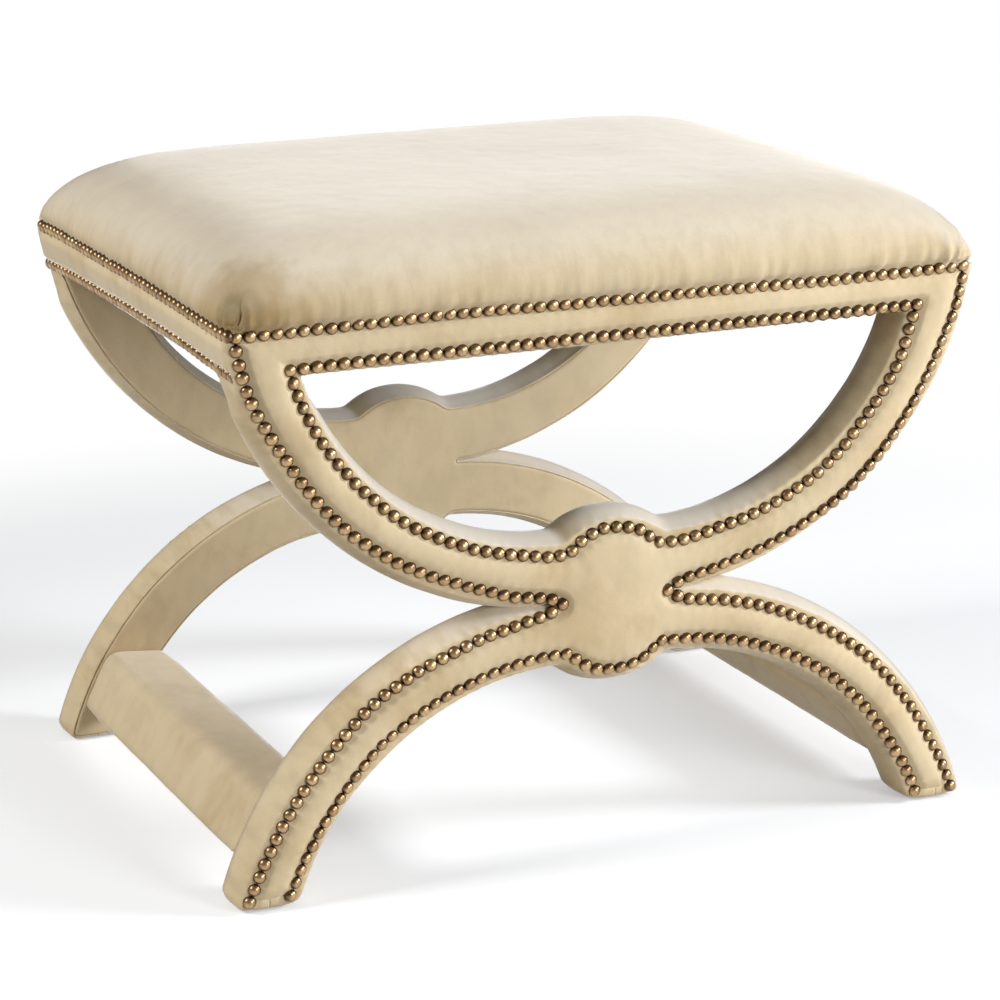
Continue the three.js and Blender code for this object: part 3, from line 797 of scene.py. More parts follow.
# %% Nails press the fabric, and padding is never quite even
press_reach = 0.0062
press_depth = 0.0016
rumple_sizes = ((0.055, 0.00035), (0.019, 0.00016))


def press(bm, depth=press_depth):
    """Sinks the fabric around each nail, along its own normal"""
    bm.normal_update()
    for vert in bm.verts:
        place, index, distance = nail_tree.find(vert.co)
        near = 1 - (distance - nail_radius) / press_reach
        if near > 0:
            vert.co -= vert.normal * depth * smooth_step(near)


def rumple(bm, seed, share=1.0):
    """Uneven padding: slow noise along the normals"""
    bm.normal_update()
    shift = Vector((seed, -seed, seed * 0.5))
    for vert in bm.verts:
        height = sum(size * noise.noise(vert.co / wave + shift) for wave, size in rumple_sizes)
        vert.co += vert.normal * height * share


# %% [markdown]
# ## Bands on the edges of the frames
#
# A band covers the edge of the frame, rolls over the outside face as far as the nails, and just round
# the inner corner, where a hand-sewn seam joins it to the inside panel. Its section is the same all the
# way round: each pair below is how far in from the edge the fabric lies, and how far off the timber.

# %% Section of a band
skin_depth = 0.004
edge_steps = 12
shoulder = (
    (0.0105, 0.0030),
    (0.0088, 0.0042),
    (0.0064, 0.0046),
    (0.0040, 0.0045),
    (0.0021, 0.0039),
    (0.0008, 0.0028),
    (0.0001, 0.0012),
)
roll = ((0.0, 0.0008), (0.0003, 0.0022), (0.0010, 0.0031), (0.0015, 0.0032), (0.0018, 0.0026), (0.0020, 0.0012))
edge_swell = 0.0060
swell_power = 0.95
swell_top = apron_bottom - 0.003
swell_fade = (0.03, 0.012)


def band_section():
    """Triples of (inset, swelling, y) of the back frame's band, from the nails round to the timber"""
    section = [(inset, 0.0, outer_face + off) for inset, off in shoulder]
    for k in range(1, edge_steps):
        t = k / edge_steps
        swelling = edge_swell * math.sin(math.pi * t) ** swell_power
        section.append((0.0, swelling, outer_face + (inner_face - outer_face) * t))
    section += [(inset, 0.0, inner_face - off) for inset, off in roll]
    section += [(skin_depth, 0.0, inner_face - 0.0001), (skin_depth, 0.0, outer_face + 0.0001)]
    return section


def swollen(run, inset, swelling):
    """A run, moved out by its swelling. That fades out under the rail and on the floor, where the band is flat."""
    flat = run(inset)
    if not swelling:
        return flat
    share = lambda z: smooth_step((swell_top - z) / swell_fade[0]) * smooth_step((z - sole) / swell_fade[1])
    return [a.lerp(b, share(a.y)) for a, b in zip(flat, run(inset - swelling))]


def band(name, face, run, closed, seed, nodes):
    """A band along a run of the outline. face is -1 for the front frame and 1 for the back one."""
    bm = bmesh.new()
    rings = [[(p.x, face * y, p.y) for p in swollen(run, inset, swelling)] for inset, swelling, y in band_section()]
    skin(bm, rings + [rings[0]], closed)
    bmesh.ops.remove_doubles(bm, verts=bm.verts[:], dist=seam_gap)
    bmesh.ops.holes_fill(bm, edges=rim_of(bm), sides=0)
    bmesh.ops.recalc_face_normals(bm, faces=bm.faces[:])
    press(bm)
    rumple(bm, seed)
    dress(finish_piece(bm, name, velvet_band), "velvet", *nodes)


# %% Bands of both frames
foot_middle = (x_at(arch, sole) + x_at(lower, sole)) / 2


def arch_run(inset):
    """From foot to foot under the arch, with half of each sole"""
    below, foot = arch_curves(inset)
    curves = [*below, line(foot, (foot_middle, sole + inset))]
    half = chain(curves, [*arch_counts, sole_count // 2], [bump_softness, foot_reach(inset)])
    return flipped(reversed(half[1:])) + half


def side_run(side):
    def run(inset):
        curves, foot, tip = side_curves(inset, seat_line)
        curves.insert(0, line((foot_middle, sole + inset), foot))
        points = chain(curves, [sole_count // 2, *side_counts], [foot_reach(inset), 0, 0])
        return [Vector((side * p.x, p.y)) for p in points]

    return run


for frame_name, face in frames.items():
    band(f"{frame_name}_opening_edge", face, opening_loop, True, 3.1 * face, [f"{frame_name}_opening_band"])
    band(f"{frame_name}_arch_edge", face, arch_run, False, 5.7 * face, [f"{frame_name}_arch_band"])
    for side_name, side in sides.items():
        name = f"{frame_name}_side_edge_{side_name}"
        band(name, face, side_run(side), False, 7.9 * face + side, [f"{frame_name}_side_band_{side_name}"])

# %% [markdown]
# ## Padded panels
#
# The outside of each X is one panel of velvet over thin padding. It is nailed down along every edge and
# swells between the rows. Rings follow the edges up the swell, and the flat middle is filled with
# triangles over a scatter of points, so that it can be as uneven as the rest.

# %% Filling the middle of a panel
fill_step = 0.0055
crown_reach = 0.012


def inside(point, loop):
    """Whether a point lies in a closed loop of (x, z) points"""
    x, z = point
    within = False
    for a, b in zip(loop, loop[1:] + loop[:1]):
        if (a.y > z) != (b.y > z) and x < a.x + (b.x - a.x) * (z - a.y) / (b.y - a.y):
            within = not within
    return within


def fill_middle(bm, rings, loops, y, crown, face):
    """Triangles between the last rings of a panel, over a scatter of points that rise to a crown"""
    border = [p for loop in loops for p in loop]
    edge = kdtree.KDTree(len(border))
    for k, p in enumerate(border):
        edge.insert((p.x, p.y, 0), k)
    edge.balance()
    links, start = [], 0
    for loop in loops:
        links += [(start + k, start + (k + 1) % len(loop)) for k in range(len(loop))]
        start += len(loop)
    low = Vector((min(p.x for p in border), min(p.y for p in border)))
    high = Vector((max(p.x for p in border), max(p.y for p in border)))
    scatter = []
    for row in range(int((high.y - low.y) / fill_step) + 1):
        for column in range(int((high.x - low.x) / fill_step) + 1):
            p = Vector((low.x + (column + 0.5 * (row % 2)) * fill_step, low.y + row * fill_step))
            if edge.find((p.x, p.y, 0))[2] < fill_step * 0.6:
                continue
            if inside(p, loops[0]) and not (len(loops) > 1 and inside(p, loops[1])):
                scatter.append(p)
    flat, _, triangles, origins, _, _ = geometry.delaunay_2d_cdt(border + scatter, links, [], 1, 0.0000001)
    known = [vert for verts, edges in rings for vert in verts]
    verts = []
    for point, origin in zip(flat, origins):
        if origin and origin[0] < len(known):
            verts.append(known[origin[0]])
            continue
        distance = edge.find((point.x, point.y, 0))[2]
        lift = crown * (1 - math.exp(-((distance / crown_reach) ** 2)))
        verts.append(bm.verts.new((point.x, face * (y + lift), point.y)))
    hole = loops[1] if len(loops) > 1 else None
    for a, b, c in triangles:
        middle = (flat[a] + flat[b] + flat[c]) / 3
        if hole and inside(middle, hole):
            continue
        if len({verts[a], verts[b], verts[c]}) == 3 and not bm.faces.get((verts[a], verts[b], verts[c])):
            bm.faces.new((verts[a], verts[b], verts[c]))


# %% Outside panels
panel_back = 0.0004
swell = (
    (0.0068, panel_back),
    (0.0068, 0.0032),
    (0.0085, 0.0044),
    (0.0105, 0.0055),
    (0.0124, 0.0064),
    (0.0142, 0.0071),
    (0.0158, 0.0076),
    (0.0172, 0.0079),
)
panel_crown = 0.0016


def outside_panel(frame_name, face):
    bm = bmesh.new()
    top = lambda inset: seat_line + nail_inset - max(inset, nail_inset - 0.001)
    loops = [(outer_loop(inset, top(inset)), opening_loop(inset)) for inset, off in swell]
    firsts, lasts = [], []
    for k in (0, 1):
        rings = [
            [(p.x, face * (outer_face + off), p.y) for p in pair[k]] for pair, (inset, off) in zip(loops, swell)
        ]
        start, end = skin(bm, rings, True)
        firsts.append(start)
        lasts.append(end)
    fill_middle(bm, lasts, loops[-1], outer_face + swell[-1][1], panel_crown, face)
    back_edges = [edge for verts, edges in firsts for edge in edges]
    bmesh.ops.triangle_fill(bm, use_beauty=True, edges=back_edges)
    bmesh.ops.recalc_face_normals(bm, faces=bm.faces[:])
    press(bm)
    rumple(bm, 1.3 + face)
    dress(finish_piece(bm, f"{frame_name}_outside_velvet", velvet_face), "velvet", f"{frame_name}_outside_panel")


for frame_name, face in frames.items():
    outside_panel(frame_name, face)

# %% Inside panels
inner_swell = (
    (0.0020, panel_back),
    (0.0020, 0.0020),
    (0.0024, 0.0032),
    (0.0034, 0.0040),
    (0.0054, 0.0043),
    (0.0084, 0.0042),
)
inner_crown = -0.0003


def inside_panel(frame_name, face):
    bm = bmesh.new()
    loops = [prong_loop(inset, inside_top) for inset, off in inner_swell]
    rings = [
        [(p.x, face * (inner_face - off), p.y) for p in loop] for loop, (inset, off) in zip(loops, inner_swell)
    ]
    start, end = skin(bm, rings, True)
    fill_middle(bm, [end], [loops[-1]], inner_face - inner_swell[-1][1], inner_crown, face)
    bmesh.ops.triangle_fill(bm, use_beauty=True, edges=start[1])
    bmesh.ops.recalc_face_normals(bm, faces=bm.faces[:])
    rumple(bm, 9.3 + face)
    dress(finish_piece(bm, f"{frame_name}_inside_velvet", velvet_face), "velvet", f"{frame_name}_inside_panel")


for frame_name, face in frames.items():
    inside_panel(frame_name, face)

# %% [markdown]
# ## Ends and stretchers
#
# A band closes each end under the seat, nailed along both edges, and turns in under the rail. Each
# stretcher is a padded bar in a sleeve, whose ends are tucked against the legs.

# %% End bands
end_rows = 16
end_face = -0.0009
end_pad = 0.0024
end_slack = {-1: 0.0030, 1: 0.0012}
slack_reach = 0.009
lip_depth, lip_reach = 0.0016, 0.0035
below_rail, above_nails, past_timber = 0.0003, 0.001, 0.0012
pad_rise = 1.6
hem = 0.0004


def end_ring(side, y, half, inner_x):
    """The section of an end band at one depth, round the end rail's outer side and its underside"""
    row_low, row_high = end_level("end_low", y), end_level("end_top", y)
    low, high = apron_bottom - below_rail, row_high + above_nails
    slack = end_slack[-1 if y < 0 else 1] * (1 - smooth_step((half - abs(y)) / slack_reach)) ** 2
    ring = []
    for i in range(end_rows + 1):
        z = low + (high - low) * i / end_rows
        between = 1 - abs(2 * z - row_high - row_low) / (row_high - row_low)
        padding = end_pad * smooth_step(pad_rise * between)
        lip = lip_depth * (1 - smooth_step((z - low) / lip_reach))
        ring.append(end_point(side, y, z, end_face + padding - lip - slack)[0])
    ring.append(end_point(side, y, high, -skin_depth)[0])
    ring.append(end_point(side, y, low + skin_depth, -skin_depth)[0])
    return ring + [Vector((inner_x, y, low + skin_depth)), Vector((inner_x, y, low + hem))]


def end_band(side_name, side):
    """A strip from front to back, along the upper circle"""
    bm = bmesh.new()
    half = outer_face + past_timber
    inner_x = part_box(f"end_rail_{side_name}")[0 if side > 0 else 1].x
    count = round(2 * half / (2 * point_step))
    rings = [end_ring(side, -half + 2 * half * k / count, half, inner_x) for k in range(count + 1)]
    for ring in skin(bm, rings, True):
        bmesh.ops.contextual_create(bm, geom=ring[1])
    bmesh.ops.recalc_face_normals(bm, faces=bm.faces[:])
    press(bm)
    rumple(bm, 4.4 * side)
    dress(finish_piece(bm, f"{side_name}_end_velvet", velvet_face), "velvet", f"end_band_{side_name}")


for side_name, side in sides.items():
    end_band(side_name, side)

# %% Stretcher sleeves
sleeve_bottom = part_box("stretcher_sleeve_left")[0].z
sleeve_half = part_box("stretcher_sleeve_left")[1].y
sleeve_outer_top, sleeve_inner_top = sleeve_bottom + 0.052, sleeve_bottom + 0.047
sleeve_softness = 0.012
sleeve_wall = 0.0036
sleeve_steps = 110
sleeve_tuck, tuck_length = 0.0036, 0.007
sleeve_puff, puff_length = 0.0006, 0.05


def sleeve_section(inset):
    """A slice of the lower leg with soft corners, drawn in by an inset"""
    outer, inner = resized(lower, -inset), resized(arch, inset)
    low, outer_top, inner_top = sleeve_bottom + inset, sleeve_outer_top - inset, sleeve_inner_top - inset
    corners = [
        Vector((x_at(inner, low), low)),
        Vector((x_at(outer, low), low)),
        Vector((x_at(outer, outer_top), outer_top)),
        Vector((x_at(inner, inner_top), inner_top)),
    ]
    middles = [(a + b) / 2 for a, b in zip(corners, corners[1:] + corners[:1])]
    curves = []
    for k, corner in enumerate(corners):
        curves += [line(middles[k - 1], corner), line(corner, middles[k])]
    counts = [7] * len(curves)
    soft = max(sleeve_softness - inset, least_softness)
    return chain(curves, counts, [soft, 0] * 4)[:-1]


def stretcher(side_name, side):
    bm = bmesh.new()
    rings = []
    for k in range(sleeve_steps + 1):
        y = -sleeve_half + 2 * sleeve_half * k / sleeve_steps
        from_end = sleeve_half - abs(y)
        tucked = sleeve_tuck * (1 - smooth_step(from_end / tuck_length))
        puffed = sleeve_puff * smooth_step(from_end / puff_length)
        rings.append([(side * p.x, y, p.y) for p in sleeve_section(tucked - puffed)])
    for y in (sleeve_half, -sleeve_half):
        rings.append([(side * p.x, y, p.y) for p in sleeve_section(sleeve_wall)])
    skin(bm, rings + [rings[0]], True)
    bmesh.ops.remove_doubles(bm, verts=bm.verts[:], dist=seam_gap)
    bmesh.ops.recalc_face_normals(bm, faces=bm.faces[:])
    rumple(bm, 6.6 * side, 1.6)
    dress(finish_piece(bm, f"{side_name}_stretcher_velvet", velvet_face), "velvet", f"stretcher_sleeve_{side_name}")


for side_name, side in sides.items():
    stretcher(side_name, side)

# %% [markdown]
# ## The nails themselves

# %% Domes
dome_profile = ((0.0, 1.0), (0.36, 0.94), (0.68, 0.75), (0.91, 0.43), (1.0, 0.0))
dome_steps = 12
skirt_depth = 0.0024
nail_lean = math.radians(3.5)
nail_shift = (0.00018, 0.00018, 0.00012)
nail_sizes = (0.97, 1.02)


def dome():
    """One nail head about the Z axis"""
    bm = bmesh.new()
    profile = [bm.verts.new((nail_radius * r, 0, nail_height * h)) for r, h in dome_profile]
    edges = [bm.edges.new(pair) for pair in zip(profile, profile[1:])]
    bmesh.ops.spin(
        bm, geom=profile + edges, cent=(0, 0, 0), axis=(0, 0, 1), angle=2 * math.pi, steps=dome_steps, use_merge=True
    )
    bmesh.ops.remove_doubles(bm, verts=bm.verts[:], dist=seam_gap)
    closed_below(bm, skirt_depth)
    bmesh.ops.recalc_face_normals(bm, faces=bm.faces[:])
    mesh = bpy.data.meshes.new("dome")
    bm.to_mesh(mesh)
    bm.free()
    return mesh


def nail_row_piece(name, nails, seed):
    draw = random.Random(seed)
    template = dome()
    bm = bmesh.new()
    layer = bm.loops.layers.uv.new("nail")
    for place, facing in nails:
        known, known_faces = len(bm.verts), len(bm.faces)
        bm.from_mesh(template)
        bm.verts.ensure_lookup_table()
        bm.faces.ensure_lookup_table()
        fresh, tone = bm.verts[known:], draw.random()
        for new_face in bm.faces[known_faces:]:
            new_face.smooth = True
            for loop in new_face.loops:
                loop[layer].uv = (loop.vert.co.xy.length / nail_radius, tone)
        turn = facing.to_track_quat("Z", "Y").to_matrix().to_4x4()
        tip, roll = [Matrix.Rotation(draw.uniform(-nail_lean, nail_lean), 4, axis) for axis in "XY"]
        lean = tip @ roll
        shift = Vector([draw.gauss(0, width) for width in nail_shift])
        size = draw.uniform(*nail_sizes)
        matrix = Matrix.Translation(place) @ turn @ Matrix.Translation(shift) @ lean @ Matrix.Scale(size, 4)
        bmesh.ops.transform(bm, matrix=matrix, verts=fresh)
    dress(new_object(bm, name, brass), "antique_brass")


for seed, (name, nails) in enumerate(nail_sets.items()):
    nail_row_piece(name, nails, seed + 11)

# %% [markdown]
# ## The seat
#
# The cover is drawn over foam and nailed along its lower edge. Its crown is nearly square from above
# and round at the shoulders. A grid is moved to that form, then a cloth simulation with a little
# pressure lets it take up the slack as real velvet does, while its nailed edge stays put.

# %% Form of the crown
seat_half = Vector((0.3333, 0.2648))
crown_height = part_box("seat_cover")[1].z - seat_line
plan_power, edge_power = 6.8, 2.33
tuck_height = 0.022
tuck = Vector((0.0044, 0.0108))
grid_counts = (190, 156)
crowding = 2.1


def crowded(t):
    """Spreads -1 to 1 so that the steps get shorter towards the edges"""
    return math.copysign(1 - (1 - abs(t)) ** crowding, t)


def crown_point(u, v, inset, base):
    edge = lambda s: max(0.0, 1 - abs(s) ** plan_power) ** (1 / edge_power)
    z = (crown_height - inset) * edge(u) * edge(v)
    drawn = max(0.0, 1 - z / tuck_height) ** 2
    return Vector((
        u * (seat_half.x - inset - drawn * tuck.x),
        v * (seat_half.y - inset - drawn * tuck.y),
        base + z,
    ))


def crown_grid(bm, counts, inset, base):
    """A grid moved to the form of the crown"""
    bmesh.ops.create_grid(bm, x_segments=counts[0], y_segments=counts[1], size=1.0)
    for vert in bm.verts:
        vert.co = crown_point(crowded(vert.co.x), crowded(vert.co.y), inset, base)


# %% Foam pad
cover_wall = 0.0022
foam_gap = 0.0022
foam_counts = (60, 50)


def foam_pad():
    bm = bmesh.new()
    crown_grid(bm, foam_counts, cover_wall + foam_gap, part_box("seat_foam")[0].z)
    bmesh.ops.contextual_create(bm, geom=rim_of(bm))
    pad = finish_piece(bm, "seat_foam_pad", foam)
    dress(pad, "foam", "seat_foam")


foam_pad()

# %% Seat cover as cloth
start_low = Vector((0.0006, 0.0022))
body_depth = 0.012
voxel = 0.006
settle_frames = 20
settle_cap = 0.005
nailed_weight, free_weight, free_stiffness = 1.0, 0.25, 0.1
nailed_height = 0.0005
swell_pressure = 4.0


def applied(piece, kind, **values):
    """Applies one modifier to a piece"""
    modifier = piece.modifiers.new(kind.title(), kind)
    for name, value in values.items():
        setattr(modifier, name, value)
    posed = piece.evaluated_get(bpy.context.evaluated_depsgraph_get())
    mesh = bpy.data.meshes.new_from_object(posed)
    piece.modifiers.remove(modifier)
    piece.data = mesh


def seat_body():
    """A closed body in the form of the crown, a little low, in even faces"""
    bm = bmesh.new()
    shrink, lower_by = start_low
    crown_grid(bm, grid_counts, shrink, seat_line)
    for vert in bm.verts:
        vert.co.z -= lower_by * (vert.co.z - seat_line) / crown_height
    closed_below(bm, body_depth)
    body = finish_piece(bm, "seat_velvet", velvet_seat)
    applied(body, "REMESH", mode="VOXEL", voxel_size=voxel)
    return body


def settled(cover):
    """Lets the cover swell as cloth over its padding, with its edge nailed down"""
    start = [vert.co.copy() for vert in cover.data.vertices]
    held = cover.vertex_groups.new(name="held")
    for index, co in enumerate(start):
        held.add([index], nailed_weight if co.z < seat_line + nailed_height else free_weight, "REPLACE")
    cloth = cover.modifiers.new("Cloth", "CLOTH")
    cloth.settings.vertex_group_mass = "held"
    cloth.settings.pin_stiffness = free_stiffness
    cloth.settings.use_pressure = True
    cloth.settings.uniform_pressure_force = swell_pressure
    cloth.settings.effector_weights.gravity = 0
    cloth.point_cache.frame_end = settle_frames
    for number in range(1, settle_frames + 1):
        bpy.context.scene.frame_set(number)
    posed = cover.evaluated_get(bpy.context.evaluated_depsgraph_get())
    ends = [vert.co.copy() for vert in posed.data.vertices]
    cover.modifiers.remove(cloth)
    moves = [end - begin for begin, end in zip(start, ends)]
    for vert, begin, move in zip(cover.data.vertices, start, moves):
        vert.co = begin + move * min(1.0, settle_cap / max(move.length, 1e-9))
    bpy.context.scene.frame_set(1)
    print(f"cloth moved by {max(move.length for move in moves):.4f} m at most, capped at {settle_cap}")


# %% Folds of the cover
pleat_width, pleat_height, pleat_reach = 0.0060, 0.0012, 0.028
tucks = {-1: (0.3230, -0.25, 0.0056), 1: (0.3120, 0.45, 0.0034)}
gather_share, gather_reach, side_pleats = 2.6, 0.055, 0.3
tuck_start, tuck_reach, tuck_width = 0.2400, 0.038, 0.0013
tuck_foot, tuck_rise, tuck_slope = 0.005, 0.006, 0.0065
ridge_height, ridge_off, ridge_width = 0.0015, 0.0052, 0.0028
cover_overlap = 0.0008
cover_press, cover_rumple = 0.0018, 1.5


def fold_height(place, normal):
    """Short pleats above the nails, deeper by the corners, and a tuck over each corner nail"""
    up = place.z - seat_line
    fade = math.exp(-((up / pleat_reach) ** 2))
    along = noise.noise(Vector((place.x / pleat_width, 0.5, place.z * 9)))
    across = noise.noise(Vector((place.y / pleat_width, 7.5, place.z * 9)))
    tuck_place, tuck_lean, tuck_depth = tucks[1 if place.x > 0 else -1]
    gathered = 1 + gather_share * math.exp(-(((abs(place.x) - tuck_place) / gather_reach) ** 2))
    height = pleat_height * gathered * fade * (abs(normal.y) * along + side_pleats * abs(normal.x) * across)
    if abs(place.y) > tuck_start and up < tuck_reach:
        beside = abs(place.x) - tuck_place - tuck_lean * up
        deep = smooth_step((tuck_reach - up) / (0.7 * tuck_reach)) * smooth_step((up - tuck_foot) / tuck_rise)
        sunk = math.exp(-beside / tuck_slope) if beside > 0 else math.exp(-((beside / tuck_width) ** 2))
        height -= tuck_depth * deep * sunk
        height += ridge_height * deep * math.exp(-(((beside + ridge_off) / ridge_width) ** 2))
    return height


def over_foam(bm):
    """Pushes points of the cover that have sunk into the crown's form back onto it"""
    form = bmesh.new()
    crown_grid(form, grid_counts, 0.0, seat_line)
    form.normal_update()
    tree = BVHTree.FromBMesh(form)
    for vert in bm.verts:
        place, normal, index, distance = tree.find_nearest(vert.co)
        if place.z > seat_line + nailed_height and (vert.co - place).dot(normal) < 0:
            vert.co = place
    form.free()


def seat_cover():
    cover = seat_body()
    settled(cover)
    bm = bmesh.new()
    bm.from_mesh(cover.data)
    cut = (0, 0, seat_line - cover_overlap)
    bmesh.ops.bisect_plane(bm, geom=everything(bm), plane_co=cut, plane_no=(0, 0, -1), clear_outer=True)
    bm.to_mesh(cover.data)
    bm.free()
    applied(cover, "SUBSURF", levels=1, render_levels=1)
    bm = bmesh.new()
    bm.from_mesh(cover.data)
    over_foam(bm)
    for reach in (0.026, 0.016):
        near = [
            edge for edge in bm.edges
            if all(abs(abs(v.co.x) - tucks[-1][0]) < reach and abs(v.co.y) > tuck_start for v in edge.verts)
            and max(v.co.z for v in edge.verts) < seat_line + tuck_reach + reach
        ]
        bmesh.ops.subdivide_edges(bm, edges=near, cuts=1, use_grid_fill=True)
    bmesh.ops.triangulate(bm, faces=[face for face in bm.faces if len(face.verts) > 4])
    press(bm, cover_press)
    rumple(bm, 2.2, cover_rumple)
    bm.normal_update()
    heights = [fold_height(vert.co, vert.normal) for vert in bm.verts]
    for vert, height in zip(bm.verts, heights):
        vert.co += vert.normal * height
    for face in bm.faces:
        face.smooth = True
    bm.to_mesh(cover.data)
    bm.free()
    thickened(cover, cover_wall, -1.0)
    dress(cover, "velvet", "seat_cover")


seat_cover()

# %% [markdown]
# ## Under the seat
#
# A thin black cloth closes the underside. It is notched round the legs and sags a little.

# %% Dust cover
lining_low, lining_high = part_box("dust_cover")
lining_sag, lining_waves = 0.003, 0.0003
lining_step = 0.012
lining_wall = 0.0005


def dust_cover():
    bm = bmesh.new()
    bm.from_mesh(frame["nodes"]["dust_cover"].data)
    bmesh.ops.remove_doubles(bm, verts=bm.verts[:], dist=0.00005)
    upper_faces = [face for face in bm.faces if face.calc_center_median().z > lining_low.z + 0.0001]
    bmesh.ops.delete(bm, geom=upper_faces, context="FACES")
    bmesh.ops.dissolve_limit(bm, angle_limit=0.01, verts=bm.verts[:], edges=bm.edges[:])
    middle = (lining_low + lining_high) / 2
    for axis in (0, 1):
        low, high = lining_low[axis], lining_high[axis]
        count = round((high - low) / lining_step)
        for k in range(1, count):
            place = Vector((0, 0, 0))
            place[axis] = low + (high - low) * k / count
            bmesh.ops.bisect_plane(bm, geom=everything(bm), plane_co=place, plane_no=(1 - axis, axis, 0))
    half = (lining_high - lining_low) / 2
    for vert in bm.verts:
        across = (1 - ((vert.co.x - middle.x) / half.x) ** 2) * (1 - ((vert.co.y - middle.y) / half.y) ** 2)
        vert.co.z -= lining_sag * max(0.0, across) ** 0.7
        vert.co.z += lining_waves * noise.noise(vert.co * 25)
    area = sum(face.calc_area() for face in bm.faces)
    cloth = finish_piece(bm, "dust_cover_lining", lining)
    thickened(cloth, lining_wall, 1.0)
    dress(cloth, "dust_cover_cloth", "dust_cover")


dust_cover()

# %% [markdown]
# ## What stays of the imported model
#
# Timber, deck, blocks, dowels and glides have the right shape already, so they only take a finish.

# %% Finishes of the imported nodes
kept = {"wood": wood, "plywood": plywood, "foam": foam, "dust_cover_cloth": lining, "velvet": velvet_face}
kept["antique_brass"] = antique_brass("glide_metal")
for part in frame["record"]["subparts"]:
    packed = frame["nodes"][part["node"]]
    packed.data.materials.clear()
    packed.data.materials.append(kept[part["material_slot"]])

# %% [markdown]
# ## Floor, light and camera
#
# The floor is white to the camera and keeps the stool's shadow, but passes on less light than it shows.
# A lamp on the right shapes the legs and throws the shadows to the left, one in front lights the face,
# and a narrow one high on the left lights that side of the seat. A warm room fills in the rest.

# %% Floor
floor_size = 12.0
floor_glow = 0.37
floor_lit, floor_tint = (0.77, 0.79, 0.83), (0.96, 0.985, 1.02)
floor_dull = (0.50, 0.485, 0.46)
shadow_floor = (0.75, 1.3)


def larger(tree, a, b):
    return node(tree, "ShaderNodeMath", {0: a, 1: b}, operation="MAXIMUM").outputs[0]


def mixed_shader(tree, factor, first, second):
    return node(tree, "ShaderNodeMixShader", {0: factor, 1: first, 2: second}).outputs[0]


def floor_material():
    """White to the camera, and pure white far from the stool, but duller to the light that it passes on"""
    material = bpy.data.materials.new("floor_white")
    tree = emptied(material)
    lit, dull = [node(tree, "ShaderNodeBsdfDiffuse", {"Color": tone}).outputs[0] for tone in (floor_lit, floor_dull)]
    glow = node(tree, "ShaderNodeEmission", {"Color": floor_tint, "Strength": floor_glow}).outputs[0]
    white = node(tree, "ShaderNodeEmission", {"Strength": 1.0}).outputs[0]
    near = node(tree, "ShaderNodeAddShader", {0: lit, 1: glow}).outputs[0]
    rays = node(tree, "ShaderNodeLightPath").outputs
    seen = larger(tree, larger(tree, rays["Is Camera Ray"], rays["Is Glossy Ray"]), rays["Is Transmission Ray"])
    place = node(tree, "ShaderNodeTexCoord").outputs["Object"]
    away = node(tree, "ShaderNodeVectorMath", {0: place}, operation="LENGTH").outputs["Value"]
    reach = {"From Min": shadow_floor[0], "From Max": shadow_floor[1], "Value": away}
    far = node(tree, "ShaderNodeMapRange", reach, interpolation_type="SMOOTHSTEP").outputs["Result"]
    shown = mixed_shader(tree, far, near, white)
    node(tree, "ShaderNodeOutputMaterial", {"Surface": mixed_shader(tree, seen, dull, shown)})
    return material


def floor():
    bm = bmesh.new()
    bmesh.ops.create_grid(bm, x_segments=1, y_segments=1, size=floor_size / 2)
    new_object(bm, "floor", floor_material())


floor()
print("floor is in")

# %% Background
room_level, room_tint = 0.23, (1.0, 0.95, 0.86)


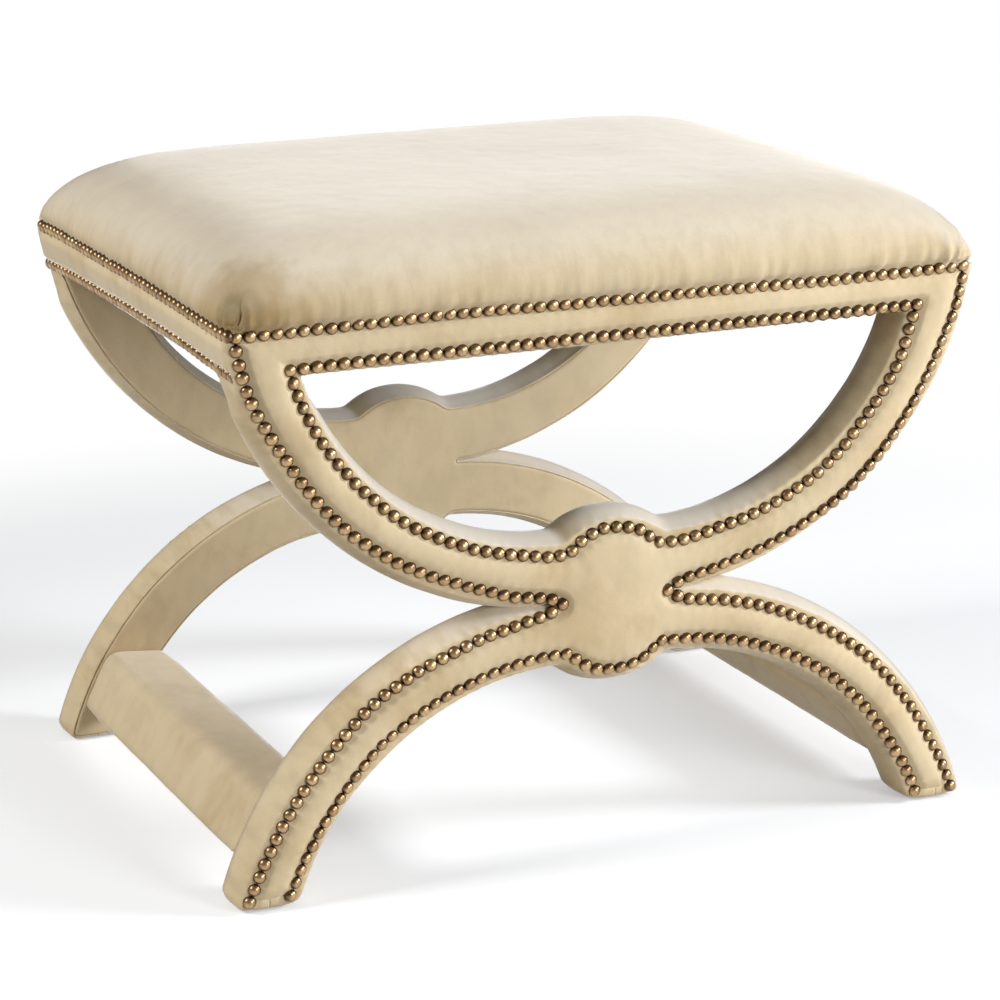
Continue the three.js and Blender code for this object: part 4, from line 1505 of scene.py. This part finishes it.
def background():
    """The room's light, behind a background that is white to the camera"""
    world = bpy.data.worlds.new("studio")
    bpy.context.scene.world = world
    tree = emptied(world)
    light = node(tree, "ShaderNodeBackground", {"Color": room_tint, "Strength": room_level}).outputs[0]
    white = node(tree, "ShaderNodeBackground", {"Strength": 1.0}).outputs[0]
    camera_ray = node(tree, "ShaderNodeLightPath").outputs["Is Camera Ray"]
    node(tree, "ShaderNodeOutputWorld", {"Surface": mixed_shader(tree, camera_ray, light, white)})


background()
print("background is in")

# %% Lamps
def area_lamp(name, place, target, size, power, tint, spread=180):
    lamp = bpy.data.lights.new(name, "AREA")
    lamp.shape = "RECTANGLE"
    lamp.size, lamp.size_y = size
    lamp.energy = power
    lamp.color = tint
    lamp.spread = math.radians(spread)
    holder = bpy.data.objects.new(name, lamp)
    holder.location = place
    holder.rotation_euler = (Vector(target) - Vector(place)).to_track_quat("-Z", "Y").to_euler()
    bpy.context.scene.collection.objects.link(holder)


aim = (0, 0, 0.3)
area_lamp("key", (2.50, -1.36, 1.42), aim, (0.7, 0.7), 61, (0.98, 0.99, 1.0))
area_lamp("fill", (-2.45, 0.05, 2.05), (-0.25, -0.05, 0.5), (1.1, 1.1), 7.4, (1.0, 0.97, 0.92), 60)
area_lamp("front", (0.98, -2.77, 0.90), aim, (0.9, 0.9), 33, (1.0, 0.99, 0.97))
print("lamps: key, fill, front")

# %% Camera
focal_pixels = 3426.2
image_pixels = 1000
azimuth, elevation, roll = math.radians(23.48), math.radians(15.37), math.radians(-0.52)
camera_place = Vector((-1.15687, -2.68111, 1.04573))


def camera():
    data = bpy.data.cameras.new("camera")
    data.sensor_width = 36.0
    data.lens = data.sensor_width * focal_pixels / image_pixels
    data.clip_end = 60
    ahead = Vector((
        math.sin(azimuth) * math.cos(elevation), math.cos(azimuth) * math.cos(elevation), -math.sin(elevation)
    ))
    right = Vector((math.cos(azimuth), -math.sin(azimuth), 0))
    up = right.cross(ahead)
    right_rolled = right * math.cos(roll) + up * math.sin(roll)
    up_rolled = up * math.cos(roll) - right * math.sin(roll)
    holder = bpy.data.objects.new("camera", data)
    turned = Matrix((right_rolled, up_rolled, -ahead)).transposed().to_4x4()
    holder.matrix_world = Matrix.Translation(camera_place) @ turned
    bpy.context.scene.collection.objects.link(holder)
    bpy.context.scene.camera = holder


camera()
bpy.context.scene.view_settings.view_transform = "Standard"
